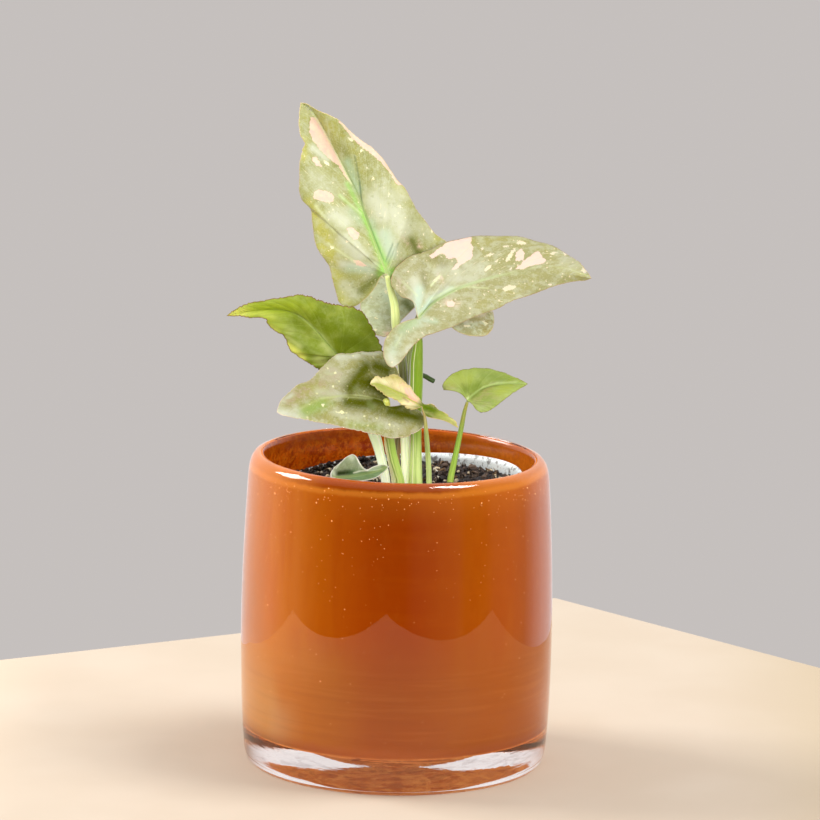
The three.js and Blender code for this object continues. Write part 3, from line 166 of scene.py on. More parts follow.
def crom(P, n):
    """Centripetal Catmull-Rom curve through P, as n points at equal steps of length."""
    P = np.asarray(P, float)
    if len(P) == 2:
        t = np.linspace(0, 1, n)[:, None]
        return P[0] * (1 - t) + P[1] * t
    Q = np.vstack([2 * P[0] - P[1], P, 2 * P[-1] - P[-2]])
    out = []
    for i in range(1, len(Q) - 2):
        p0, p1, p2, p3 = Q[i - 1:i + 3]
        t0 = 0
        t1 = t0 + np.linalg.norm(p1 - p0) ** .5
        t2 = t1 + np.linalg.norm(p2 - p1) ** .5
        t3 = t2 + np.linalg.norm(p3 - p2) ** .5
        t = np.linspace(t1, t2, 24, endpoint=False)[:, None]
        a1 = (t1 - t) / (t1 - t0) * p0 + (t - t0) / (t1 - t0) * p1
        a2 = (t2 - t) / (t2 - t1) * p1 + (t - t1) / (t2 - t1) * p2
        a3 = (t3 - t) / (t3 - t2) * p2 + (t - t2) / (t3 - t2) * p3
        b1 = (t2 - t) / (t2 - t0) * a1 + (t - t0) / (t2 - t0) * a2
        b2 = (t3 - t) / (t3 - t1) * a2 + (t - t1) / (t3 - t1) * a3
        out.append((t2 - t) / (t2 - t1) * b1 + (t - t1) / (t2 - t1) * b2)
    out = np.vstack(out + [P[-1:]])
    s = np.r_[0, np.cumsum(np.linalg.norm(np.diff(out, axis=0), axis=1))]
    u = np.linspace(0, s[-1], n)
    return np.stack([np.interp(u, s, out[:, k]) for k in range(out.shape[1])], 1)


def at(C, u):
    """Point of the dense curve C at fraction u of its length."""
    x = np.clip(np.asarray(u, float), 0, 1) * (len(C) - 1)
    i = np.minimum(x.astype(int), len(C) - 2)
    f = (x - i)[..., None]
    return C[i] * (1 - f) + C[i + 1] * f


def fractal(points, size, octaves=3, seed=0.0):
    """Smooth noise of about -1..1 at each point; size in the points' own unit."""
    out = np.zeros(len(points))
    for i, p in enumerate(points):
        v = Vector((p[0] / size + seed, p[1] / size - seed, p[2] / size + 2 * seed))
        a, s = 1.0, 0.0
        for _ in range(octaves):
            s += a * mnoise.noise(v)
            v = v * 2.03
            a *= .5
        out[i] = s
    return out


def mesh_object(name, verts, faces, attrs=None, uv=None, smooth_shade=True, face_mats=None):
    """Mesh object from millimetre vertices; attrs are per-vertex floats, uv one pair per face corner."""
    me = bpy.data.meshes.new(name)
    me.from_pydata((np.asarray(verts, float) * MM).tolist(), [], faces)
    me.polygons.foreach_set("use_smooth", [smooth_shade] * len(me.polygons))
    if face_mats is not None:
        me.polygons.foreach_set("material_index", [int(v) for v in face_mats])
    for key, val in (attrs or {}).items():
        a = me.attributes.new(key, "FLOAT", "POINT")
        a.data.foreach_set("value", np.asarray(val, np.float32))
    if uv is not None:
        layer = me.uv_layers.new(name="OFBake")
        layer.data.foreach_set("uv", np.asarray(uv, np.float32).ravel())
    me.update()
    ob = bpy.data.objects.new(name, me)
    bpy.context.scene.collection.objects.link(ob)
    return ob


def give(ob, mats, replaces=(), body="root"):
    for m in mats if isinstance(mats, (list, tuple)) else [mats]:
        ob.data.materials.append(m)
    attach(ob, body)
    if replaces:
        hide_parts(*replaces)
    return ob


# ---------------------------------------------------------------- material helper
def col(r, g, b, k=1.0):
    """Linear colour from 0-255 display values."""
    f = lambda c: (c / 12.92 if c <= .04045 else ((c + .055) / 1.055) ** 2.4)
    return tuple(f(c / 255) * k for c in (r, g, b)) + (1.0,)


class Nodes:
    def __init__(self, name):
        self.mat = bpy.data.materials.new(name)
        self.mat.use_nodes = True
        self.t = self.mat.node_tree
        self.t.nodes.clear()
        self.out = self.t.nodes.new("ShaderNodeOutputMaterial")

    def put(self, sock, v):
        if isinstance(v, bpy.types.NodeSocket):
            self.t.links.new(v, sock)
        else:
            sock.default_value = v

    def new(self, kind, **props):
        n = self.t.nodes.new(kind)
        for k, v in props.items():
            setattr(n, k, v)
        return n

    def attr(self, name):
        return self.new("ShaderNodeAttribute", attribute_name=name).outputs["Fac"]

    def math(self, op, a, b=0.0, clamp=False):
        n = self.new("ShaderNodeMath", operation=op, use_clamp=clamp)
        self.put(n.inputs[0], a)
        if len(n.inputs) > 1:
            self.put(n.inputs[1], b)
        return n.outputs[0]

    def add(self, a, b): return self.math("ADD", a, b)
    def sub(self, a, b): return self.math("SUBTRACT", a, b)
    def mul(self, a, b): return self.math("MULTIPLY", a, b)
    def inv(self, a): return self.math("SUBTRACT", 1.0, a)
    def clamp(self, a): return self.math("ADD", a, 0.0, True)

    def mix(self, f, a, b, blend="MIX"):
        n = self.new("ShaderNodeMix", data_type="RGBA", blend_type=blend, clamp_factor=True)
        self.put(n.inputs[0], f)
        self.put(n.inputs[6], a)
        self.put(n.inputs[7], b)
        return n.outputs[2]

    def step(self, x, a, b, lo=0.0, hi=1.0):
        """Smooth step of x from a to b; a may be above b."""
        n = self.new("ShaderNodeMapRange", interpolation_type="SMOOTHSTEP")
        if a > b:
            a, b, lo, hi = b, a, hi, lo
        for k, v in zip(range(5), (x, a, b, lo, hi)):
            self.put(n.inputs[k], v)
        return n.outputs[0]

    def mm(self):
        """Object coordinates in millimetres."""
        n = self.new("ShaderNodeVectorMath", operation="SCALE")
        self.put(n.inputs[0], self.new("ShaderNodeTexCoord").outputs["Object"])
        n.inputs["Scale"].default_value = 1000.0
        return n.outputs[0]

    def vec(self, x, y, z):
        n = self.new("ShaderNodeCombineXYZ")
        for k, v in enumerate((x, y, z)):
            self.put(n.inputs[k], v)
        return n.outputs[0]

    def vmul(self, v, xyz):
        n = self.new("ShaderNodeVectorMath", operation="MULTIPLY")
        self.put(n.inputs[0], v)
        n.inputs[1].default_value = xyz
        return n.outputs[0]

    def vadd(self, v, w):
        n = self.new("ShaderNodeVectorMath", operation="ADD")
        self.put(n.inputs[0], v)
        self.put(n.inputs[1], w)
        return n.outputs[0]

    def noise(self, v, size, detail=3.0, rough=.5, colour=False, distortion=0.0):
        n = self.new("ShaderNodeTexNoise")
        self.put(n.inputs["Vector"], v)
        n.inputs["Scale"].default_value = 1.0 / size
        n.inputs["Detail"].default_value = detail
        n.inputs["Roughness"].default_value = rough
        n.inputs["Distortion"].default_value = distortion
        return n.outputs["Color" if colour else "Fac"]

    def voronoi(self, v, size, feature="F1", out="Distance", random=1.0):
        n = self.new("ShaderNodeTexVoronoi", feature=feature)
        self.put(n.inputs["Vector"], v)
        n.inputs["Scale"].default_value = 1.0 / size
        n.inputs["Randomness"].default_value = random
        return n.outputs[out]

    def red(self, c):
        n = self.new("ShaderNodeSeparateColor")
        self.put(n.inputs[0], c)
        return n.outputs[0]

    def green(self, c):
        n = self.new("ShaderNodeSeparateColor")
        self.put(n.inputs[0], c)
        return n.outputs[1]

    def bump(self, h, height_mm, strength=1.0, normal=None):
        n = self.new("ShaderNodeBump")
        n.inputs["Strength"].default_value = strength
        n.inputs["Distance"].default_value = height_mm * MM
        self.put(n.inputs["Height"], h)
        if normal is not None:
            self.put(n.inputs["Normal"], normal)
        return n.outputs[0]

    def principled(self, colour, rough, normal=None, **sockets):
        n = self.new("ShaderNodeBsdfPrincipled")
        self.put(n.inputs["Base Color"], colour)
        self.put(n.inputs["Roughness"], rough)
        for k, v in sockets.items():
            self.put(n.inputs[k.replace("_", " ")], v)
        if normal is not None:
            self.put(n.inputs["Normal"], normal)
        return n.outputs[0]

    def done(self, shader):
        self.t.links.new(shader, self.out.inputs["Surface"])
        return self.mat


# ---------------------------------------------------------------- leaf blades
def half(L, w, K, F, NT, power=1.3):
    """Grid of one half blade. Rows run from the midrib (or, past row K, from the junction) to the
    margin; columns from t=0 to t=1, packed closer near the midrib."""
    mid, mg, si = crom(L["mid"], 900), crom(L["m" + w], 1500), crom(L["s" + w], 500)
    i = 0 if w == "L" else 1
    uJ, bow, n = L["reach"][i], L["arch"][i], np.array(L["n"])
    ks = np.r_[np.linspace(0, 1, K + 1), 1 + np.linspace(0, 1, F + 1)[1:]]
    t = np.linspace(0, 1, NT + 1) ** power
    rows = []
    for k in ks:
        if k <= 1:
            root, edge, D = at(mid, 1 - k), at(mg, k * uJ), 0.0
        else:
            f = k - 1
            root, edge = at(mid, 0.0), at(mg, uJ + (1 - uJ) * f)
            chord = si[0] + (si[-1] - si[0]) * t[:, None]
            D = (at(si, t) - chord) * (f * f * (3 - 2 * f))
        P = root + (edge - root) * t[:, None] + D
        fade = 1.0 if k <= 1 else 2 - k
        rows.append(P + n * (bow * np.linalg.norm(edge - root) * 4 * t * (1 - t) * fade)[:, None])
    return ks, t, np.array(rows)


def unfold(G, n, rounds=60):
    """Relaxes a grid where it doubles back on itself, keeping its border."""
    G = G.copy()
    sign = 0
    for _ in range(rounds):
        a = G[1:, :-1] - G[:-1, :-1]
        b = G[:-1, 1:] - G[:-1, :-1]
        face = np.cross(b, a) @ n
        sign = sign or np.sign(face.sum())
        bad = face * sign < 1e-4
        if not bad[1:, 1:].any():
            break
        mark = np.zeros(G.shape[:2], bool)
        for di in (-1, 0, 1, 2):
            for dj in (-1, 0, 1, 2):
                ii, jj = np.nonzero(bad)
                ii = np.clip(ii + di, 1, G.shape[0] - 2)
                jj = np.clip(jj + dj, 1, G.shape[1] - 2)
                mark[ii, jj] = True
        H = G.copy()
        H[1:-1, 1:-1] = (G[2:, 1:-1] + G[:-2, 1:-1] + G[1:-1, 2:] + G[1:-1, :-2]) / 4
        G[mark] = H[mark]
    return G


def signed_to_polygon(q, poly):
    """Distance of points q to a closed polygon in the plane, positive inside."""
    P = np.asarray(poly, float)
    A, B = P, np.roll(P, -1, 0)
    best = np.full(len(q), 1e9)
    inside = np.zeros(len(q), bool)
    for a, b in zip(A, B):
        ab = b - a
        t = np.clip(((q - a) @ ab) / max(ab @ ab, 1e-9), 0, 1)
        best = np.minimum(best, np.linalg.norm(q - (a + t[:, None] * ab), axis=1))
        cross = (a[1] > q[:, 1]) != (b[1] > q[:, 1])
        x = a[0] + (q[:, 1] - a[1]) * (b[0] - a[0]) / (b[1] - a[1] if abs(b[1] - a[1]) > 1e-9 else 1e-9)
        inside ^= cross & (q[:, 0] < x)
    return np.where(inside, best, -best)


def strokes(q, marks):
    """Soft brush strokes: each mark is (x0, y0, x1, y1, width, amount) in view units."""
    out = np.zeros(len(q))
    for x0, y0, x1, y1, w, a in marks:
        p, d = np.array([x0, y0]), np.array([x1 - x0, y1 - y0], float)
        t = np.clip(((q - p) @ d) / max(d @ d, 1e-9), 0, 1)
        r = np.linalg.norm(q - (p + t[:, None] * d), axis=1)
        out = np.maximum(out, a * np.exp(-(r / w) ** 2))
    return out


PX = 2.86  # view units to a millimetre at the plant


def leaf(name, K, F, NT, veins, fan_veins, bend=0.15, thick=0.42, groove=0.13, quilt=0.05, wave=0.25, ruffle=0.25,
         blotches=(), paint=None, bank=(), seed=1.0, jag=0.0, crinkle=0.0):
    """One blade as a closed thin body with midrib, lateral veins and quilting in its shape, and the
    fields its material reads. veins: places of lateral veins along the midrib, 0 tip to 1 junction."""
    L = LEAVES[name]
    n = np.array(L["n"]) / np.linalg.norm(L["n"])
    V, fld, faces, corner_uv = [], {k: [] for k in ("m", "ms", "kk", "tt", "sd")}, [], []
    mid_ids = None
    grids = []
    for w, sgn in (("L", 1), ("R", -1)):
        ks, t, G = half(L, w, K, F, NT)
        G = unfold(G, n)
        if jag:
            out = G[:, -1] - G[:, -4]
            out /= np.maximum(np.linalg.norm(out, axis=1), 1e-6)[:, None]
            run = np.r_[0, np.cumsum(np.linalg.norm(np.diff(G[:, -1], axis=0), axis=1))]
            bite = np.array([mnoise.noise(Vector((v * .95, seed * 3.1 + sgn, .3))) + .6 * mnoise.noise(Vector((v * 2.1, seed * 5.3 + sgn, 1.7))) for v in run])
            bite = jag * (np.abs(bite) * -1.6 + .35) * smooth(0, 4, run)
            G = G.copy()
            for c, part in ((-1, 1.0), (-2, .62), (-3, .28)):
                G[:, c] += out * (bite * part)[:, None]
        grids.append((w, sgn, ks, t, G))
    for gi, (w, sgn, ks, t, G) in enumerate(grids):
        M = len(ks)
        fade = 1 - smooth(0.85, 1.3, ks)
        s = ks[:, None] + bend * (t[None, :] ** 1.4) * fade[:, None] * np.minimum(1, ks[:, None] * 2.5)
        knots = np.r_[-0.1, list(veins), [1 + f for f in fan_veins], 2.4]
        m = np.interp(s, knots, np.arange(len(knots)))
        Pr = np.gradient(G, axis=0); Pc = np.gradient(G, axis=1)
        mr = np.gradient(m, axis=0); mc = np.gradient(m, axis=1)
        E_, F_, G_ = (Pr ** 2).sum(-1), (Pr * Pc).sum(-1), (Pc ** 2).sum(-1)
        det = np.maximum(E_ * G_ - F_ ** 2, 1e-9)
        grad = np.sqrt(np.maximum((G_ * mr ** 2 - 2 * F_ * mr * mc + E_ * mc ** 2) / det, 1e-8))
        ms = np.clip(1 / grad, 0, 40)
        idx = np.zeros((M, NT + 1), int)
        if mid_ids is None:
            mid_ids = list(range(K + 1))
            for r in range(K + 1):
                V.append(G[r, 0])
                for key, val in zip(("m", "ms", "kk", "tt", "sd"), (m[r, 0], ms[r, min(1, NT)], ks[r], 0.0, 0.0)):
                    fld[key].append(val)
        idx[:K + 1, 0] = mid_ids
        idx[K + 1:, 0] = mid_ids[K]
        idx[0, :] = mid_ids[0]
        base = len(V)
        idx[1:, 1:] = base + np.arange((M - 1) * NT).reshape(M - 1, NT)
        V.extend(G[1:, 1:].reshape(-1, 3))
        fld["m"].extend(m[1:, 1:].ravel()); fld["ms"].extend(ms[1:, 1:].ravel())
        fld["kk"].extend(np.repeat(ks[1:], NT)); fld["tt"].extend(np.tile(t[1:], M - 1))
        fld["sd"].extend(np.full((M - 1) * NT, float(sgn)))
        for r in range(M - 1):
            for c in range(NT):
                q = [(r, c), (r, c + 1), (r + 1, c + 1), (r + 1, c)]
                if sgn < 0:
                    q = q[::-1]
                ids, uvs = [], []
                for a, b in q:
                    i = int(idx[a, b])
                    if i not in ids:
                        ids.append(i)
                        uvs.append((b / NT, a / (M - 1), gi))
                if len(ids) > 2:
                    faces.append(ids)
                    corner_uv.append(uvs)
    V = np.array(V)
    fld = {k: np.array(v, float) for k, v in fld.items()}
    # vertex normals, turned to the upper face
    N = np.zeros_like(V)
    for f in faces:
        p = V[f]
        q = np.cross(p[1] - p[0], p[2] - p[0]) + (np.cross(p[2] - p[0], p[3] - p[0]) if len(f) > 3 else 0)
        for i in f:
            N[i] += q
    if (N @ n).sum() < 0:
        N = -N
        faces = [f[::-1] for f in faces]
        corner_uv = [u[::-1] for u in corner_uv]
    N /= np.maximum(np.linalg.norm(N, axis=1), 1e-9)[:, None]
    # open edges
    edges = {}
    for f in faces:
        for a, b in zip(f, f[1:] + f[:1]):
            if (b, a) in edges:
                del edges[(b, a)]
            else:
                edges[(a, b)] = 1
    rim = sorted({i for e in edges for i in e})
    tree = KDTree(len(rim))
    for j, i in enumerate(rim):
        tree.insert(Vector(V[i]), j)
    tree.balance()
    de = np.array([tree.find(Vector(p))[2] for p in V])
    mid = crom(L["mid"], 400)
    tree = KDTree(len(mid))
    for j, p in enumerate(mid):
        tree.insert(Vector(p), j)
    tree.balance()
    dm = np.array([tree.find(Vector(p))[2] for p in V])
    q = to_view(V)
    bl = np.full(len(V), -3.0)
    for poly in blotches:
        bl = np.maximum(bl, signed_to_polygon(q, poly) / PX)
    bk = np.full(len(V), -3.0)
    for poly in bank:
        bk = np.maximum(bk, signed_to_polygon(q, poly) / PX)
    frac = np.abs((fld["m"] + .5) % 1 - .5)
    dv = frac * fld["ms"]
    taper = 0.25 + 0.75 * np.clip(fld["kk"], 0, 1)
    inner = np.clip(de / 2.2, 0, 1) * np.clip(dm / 1.6, 0, 1)
    near_tip = smooth(0.02, 0.14, fld["kk"])
    wavy = fractal(V, 16.0, 2, seed)
    fine = fractal(V, 3.2, 2, seed + 3)
    puff = np.sin(math.pi * np.clip(frac * 2, 0, 1) / 2) ** 1.5
    shift = wave * wavy * smooth(0.0, 6.0, np.minimum(dm, de * 2)) + ruffle * fld["tt"] ** 4 * np.sin(fld["kk"] * 23 + seed * 5 + fld["sd"]) * near_tip
    if crinkle:
        shift = shift + crinkle * fractal(V, 5.5, 2, seed + 7) * smooth(0, 2.5, dm) * near_tip
    C = V + N * shift[:, None]
    top = (groove * (-1.1 * np.exp(-(dm / .42) ** 2) + .75 * np.exp(-((dm - 1.15) / .6) ** 2)) * taper * near_tip
           + quilt * puff * inner * near_tip - .035 * np.exp(-(dv / .38) ** 2) * inner + .04 * fine * inner)
    bot = (.62 * np.exp(-(dm / .75) ** 2) * taper * near_tip + .2 * np.exp(-(dv / .42) ** 2) * inner * taper
           - quilt * puff * inner * near_tip * .8 - .05 * fine * inner)
    half_t = thick / 2 * (0.45 + 0.55 * smooth(0, 1.4, de))
    A = C + N * (half_t + top)[:, None]
    B = C - N * (half_t + bot)[:, None]
    cnt = len(V)
    all_v = np.vstack([A, B])
    all_f, uv = [], []
    def place(u, row):
        a, b, g = u
        x = (g * 0.25 + 0.006 + a * 0.238) + (0.5 if row else 0.0)
        return (x, 0.01 + b * 0.98)
    for f, us in zip(faces, corner_uv):
        all_f.append(list(f)); uv.extend(place(u, 0) for u in us)
        all_f.append([i + cnt for i in f[::-1]]); uv.extend(place(u, 1) for u in us[::-1])
    for k, (a, b) in enumerate(edges):
        all_f.append([b, a, a + cnt, b + cnt])
        x = 0.0005 + 0.004 * ((k % 4) / 4)
        y = (k // 4) / (len(edges) / 4 + 1)
        uv.extend([(x, y), (x + .0008, y), (x + .0008, y + .001), (x, y + .001)])
    fields = dict(m=fld["m"], ms=fld["ms"], dm=dm, de=de, kk=fld["kk"], tt=fld["tt"], bl=np.clip(bl, -3, 3), bk=np.clip(bk, -3, 3))
    for key in ("olive", "dark", "pale", "mint", "pink", "lime", "ink", "line"):
        fields[key] = strokes(q, (paint or {}).get(key, ()))
    fields = {k: np.r_[v, v] for k, v in fields.items()}
    fields["under"] = np.r_[np.zeros(cnt), np.ones(cnt)]
    ob = mesh_object(name + "_blade_fine", all_v, all_f, fields, uv)
    return ob


def leaf_material(name, green, olive, pale, dark, vein, midrib, mint, pink, cream, margin, under,
                  cloud=.5, flecks=.5, fleck_size=1.0, vein_mix=.35, blotch_rough=.5, gloss=.40, glow=.3, speck=.35,
                  margin_width=.32, vein_width=.22, net=.25, lime=None, ink=None, line=None, rib_fade=.0, spec=.5, spot_rough=1.0, rib_width=.95):
    b = Nodes(name)
    lime, ink, line_c = lime or mint, ink or dark, line or vein
    co = b.mm()
    m, ms, dm, de, kk = (b.attr(k) for k in ("m", "ms", "dm", "de", "kk"))
    n6 = b.noise(co, 7.0, 4, .6)
    n2 = b.noise(co, 1.9, 5, .62)
    n2b = b.noise(b.vadd(co, (31.0, 7.0, 3.0)), 2.6, 5, .65)
    n05 = b.noise(co, .5, 3, .6)
    # stretched coordinates: across the veins, along them
    lane = b.vec(b.mul(m, 4.2), b.mul(dm, .30), b.mul(b.attr("bk"), .0))
    lane_n = b.noise(lane, 1.0, 4, .6)
    c = b.mix(b.clamp(b.add(b.attr("olive"), b.mul(b.sub(n6, .5), 1.1))), green, olive)
    c = b.mix(b.mul(b.step(b.add(b.mul(n2b, .80), b.mul(lane_n, .28)), .49, .64), cloud), c, pale)
    c = b.mix(b.clamp(b.add(b.attr("pale"), b.mul(b.sub(n2, .5), .25))), c, pale)
    c = b.mix(b.mul(b.step(n2, .42, .30), cloud * .8), c, dark)
    # painted shade: the dark strokes darken the blade where other leaves and folds shade it; there the veins, flecks
    # and sheen are held back too
    c = b.mix(b.attr("dark"), c, dark)
    c = b.mix(b.mul(b.attr("pink"), b.step(n2b, .38, .62)), c, pink)
    c = b.mix(b.mul(b.mul(b.step(n05, .5, .75), speck), b.inv(b.mul(b.attr("dark"), .85))), c, pale)
    # veins
    def line(x, reps, w):
        f = b.math("ABSOLUTE", b.sub(b.math("FRACT", b.add(b.mul(x, reps), .5)), .5))
        return b.step(b.mul(b.mul(f, ms), 1.0 / reps), w, w * .25)
    v1 = line(m, 1.0, vein_width)
    v2 = line(m, 5.0, vein_width * .45)
    cells = b.voronoi(co, 1.25, "DISTANCE_TO_EDGE")
    v3 = b.step(cells, .10, .02)
    rib = b.step(dm, rib_width, rib_width * .32)
    open_ = b.inv(b.mul(b.attr("dark"), .8))
    c = b.mix(b.mul(b.attr("mint"), b.add(.72, b.mul(n2, .5))), c, mint)
    c = b.mix(b.mul(b.attr("lime"), b.add(.8, b.mul(n2, .4))), c, lime)
    c = b.mix(b.mul(b.mul(v3, open_), b.mul(net, .45)), c, vein)
    c = b.mix(b.mul(b.mul(v2, open_), b.mul(vein_mix, .45)), c, vein)
    c = b.mix(b.mul(b.mul(v1, open_), vein_mix), c, vein)
    # cream flecks, drawn out along the veins
    v = b.new("ShaderNodeTexVoronoi", feature="F1")
    b.put(v.inputs["Vector"], b.vadd(b.vec(b.mul(m, 6.5), b.mul(dm, .42), b.mul(kk, 1.5)), b.vmul(b.noise(co, 1.1, 2, .5, colour=True), (.55, .55, .0))))
    v.inputs["Scale"].default_value = 1.0 / fleck_size
    pick = b.step(b.green(v.outputs["Color"]), .80, .84)
    fleck = b.mul(b.step(b.add(v.outputs["Distance"], b.mul(n05, .25)), .40, .26), pick)
    v = b.new("ShaderNodeTexVoronoi", feature="F1")
    b.put(v.inputs["Vector"], b.vadd(co, b.vmul(b.noise(co, .8, 2, .5, colour=True), (.7, .7, .7))))
    v.inputs["Scale"].default_value = 1.0 / (1.5 * fleck_size)
    dot = b.mul(b.step(v.outputs["Distance"], .30, .17), b.step(b.red(v.outputs["Color"]), .80, .86))
    fleck = b.math("MAXIMUM", fleck, dot)
    fleck = b.mul(b.mul(fleck, b.step(n6, .34, .56)), b.inv(b.mul(b.attr("dark"), .6)))
    c = b.mix(b.mul(fleck, flecks), c, cream)
    # listed pale patches: pink in the big ones, cream in the small ones
    n1 = b.noise(co, 1.1, 4, .62)
    edge = b.add(b.mul(b.sub(n2, .5), 1.1 * blotch_rough), b.add(b.mul(b.sub(n05, .5), .8 * blotch_rough), b.mul(b.sub(n1, .5), 1.6 * blotch_rough)))
    patch = b.step(b.add(b.attr("bl"), edge), -.08, .08)
    patch2 = b.step(b.add(b.attr("bk"), b.add(b.mul(b.sub(n1, .5), 1.7 * spot_rough), b.mul(b.sub(n05, .5), .8 * spot_rough))), -.06, .06)
    c = b.mix(patch2, c, b.mix(b.step(n2b, .35, .65), cream, b.mix(.5, cream, pale)))
    skin = b.mix(b.step(n2b, .30, .72), pink, b.mix(.35, pink, cream))
    skin = b.mix(b.mul(v1, .25), skin, vein)
    c = b.mix(patch, c, skin)
    # dark line strokes: markings, and painted shade in the creases along the midribs
    c = b.mix(b.mul(b.attr("ink"), b.add(.6, b.mul(n2, .7))), c, ink)
    c = b.mix(b.mul(b.attr("line"), b.add(.5, b.mul(n2, .8))), c, line_c)
    rib_f = b.mul(rib, b.inv(b.mul(b.step(kk, .95, .25), rib_fade)))
    c = b.mix(b.mul(b.mul(rib_f, open_), b.inv(b.mul(patch, .6))), c, midrib)
    rim = b.step(b.add(de, b.mul(b.sub(n2, .5), .25)), margin_width, margin_width * .2)
    c = b.mix(b.mul(rim, .85), c, margin)
    low = b.mix(.55, c, under)
    low = b.mix(b.mul(b.math("MAXIMUM", v1, rib), .5), low, vein)
    c = b.mix(b.attr("under"), c, low)
    h = b.add(b.mul(cells, .35), b.add(b.mul(n05, .35), b.mul(v2, -.25)))
    normal = b.bump(h, .09, .55)
    rough = b.add(gloss, b.mul(b.sub(n2, .5), .18))
    return b.done(b.principled(c, rough, normal, Subsurface_Weight=glow, Subsurface_Radius=(1.0, 1.1, .45),
                               Subsurface_Scale=.0007, Specular_IOR_Level=b.mul(b.inv(b.mul(b.attr("dark"), .92)), spec)))


def stalk(name, spec, sides=28, steps=110, start=-.012, ridges=(), flat=.05, twist=0.0, tip=None, seed=0.0, end=1.0, out_name=None):
    """Fine stalk along its centre line. ridges: (angle, half width, height mm) lines along it."""
    path = np.array(spec["path"], float)
    radius = np.array(spec["radius"], float)
    dense = crom(path, 600)
    seg = np.r_[0, np.cumsum(np.linalg.norm(np.diff(path, axis=0), axis=1))]
    length = seg[-1]
    u = np.linspace(0, end, steps + 1)
    P = at(dense, u)
    R = np.interp(u * length, seg, radius)
    if tip is not None:
        R = R * (tip + (1 - tip) * smooth(0, .22, u) ** .6)
    T = np.gradient(P, axis=0); T /= np.linalg.norm(T, axis=1)[:, None]
    # frame kept turned to the front, so that a ridge keeps its side
    front = np.array([0.0, -1.0, 0.0])
    B1 = front - (T @ front)[:, None] * T; B1 /= np.linalg.norm(B1, axis=1)[:, None]
    B2 = np.cross(T, B1)
    th = np.arange(sides) * 2 * math.pi / sides
    V, along, cx, cy, rd = [], [], [], [], []
    for i in range(steps + 1):
        prof = R[i] * (1 + flat * np.cos(2 * th + .6 + twist * u[i])) + .03 * np.sin(5 * th + 9 * u[i] + seed) + .02 * np.sin(9 * th - 5 * u[i])
        rid = np.zeros(sides)
        for a0, hw, hgt in ridges:
            d = (th - a0 + math.pi) % (2 * math.pi) - math.pi
            g = np.exp(-(d / hw) ** 2)
            prof = prof + hgt * g * min(1, R[i] / 1.5)
            rid = np.maximum(rid, g if hgt > 0 else -g)
        for j in range(sides):
            V.append(P[i] + prof[j] * (math.cos(th[j]) * B1[i] + math.sin(th[j]) * B2[i]))
            along.append(u[i] * length); cx.append(math.cos(th[j])); cy.append(math.sin(th[j])); rd.append(rid[j])
    faces = [[i * sides + j, i * sides + (j + 1) % sides, (i + 1) * sides + (j + 1) % sides, (i + 1) * sides + j]
             for i in range(steps) for j in range(sides)]
    for i, flip in ((0, False), (steps, True)):
        V.append(P[i] + T[i] * (-.35 if i == 0 else .3) * R[i])
        along.append(u[i] * length); cx.append(0); cy.append(0); rd.append(0)
        c = len(V) - 1
        for j in range(sides):
            f = [c, i * sides + (j + 1) % sides, i * sides + j]
            faces.append(f[::-1] if flip else f)
    ob = mesh_object(out_name or name + "_fine", V, faces, dict(al=np.array(along), cx=cx, cy=cy, rd=rd, hz=np.array(V)[:, 2]))
    return ob


def stalk_material(name, top, middle, foot, streak, ridge=None, z=(98, 112, 128), streak_mix=.5, gloss=.34, glow=.3, blush=None, lift=.14):
    """Colour runs from foot (at the soil) through middle to top, with fine lengthwise streaks."""
    b = Nodes(name)
    hz = b.attr("hz")
    v = b.vec(b.mul(b.attr("cx"), 2.2), b.mul(b.attr("cy"), 2.2), b.mul(b.attr("al"), .045))
    s1 = b.noise(v, 1.0, 4, .6)
    v2 = b.vec(b.mul(b.attr("cx"), 6.5), b.mul(b.attr("cy"), 6.5), b.mul(b.attr("al"), .10))
    s2 = b.noise(v2, 1.0, 3, .6)
    n = b.noise(b.mm(), 3.0, 3, .5)
    hz2 = b.add(hz, b.mul(b.sub(s1, .5), 14.0))
    c = b.mix(b.step(hz2, z[0], z[1]), foot, middle)
    c = b.mix(b.step(hz2, z[1], z[2]), c, top)
    c = b.mix(b.mul(b.step(s1, .48, .66), streak_mix), c, streak)
    c = b.mix(b.mul(b.step(s2, .55, .75), streak_mix * .6), c, foot)
    if blush is not None:
        c = b.mix(b.mul(b.step(n, .30, .55), b.step(b.add(hz, b.mul(b.sub(s2, .5), 5.0)), blush[1], blush[2])), c, blush[0])
    if ridge is not None:
        c = b.mix(b.step(b.attr("rd"), .35, .85), c, ridge[0])
        c = b.mix(b.step(b.attr("rd"), -.25, -.8), c, ridge[1])
    h = b.add(b.mul(s2, .6), b.mul(b.noise(b.mm(), .35, 2, .5), .2))
    # Below about 124 mm the stalk also glows by lift: painted light on the feet in the shade near the soil.
    return b.done(b.principled(c, b.add(gloss, b.mul(b.sub(s2, .5), .16)), b.bump(h, .10, .5), Subsurface_Weight=glow,
                               Subsurface_Radius=(1.2, 1.4, .5), Subsurface_Scale=.0012, Specular_IOR_Level=.5,
                               Emission_Color=c, Emission_Strength=b.mul(b.step(hz, 124, 104), lift)))
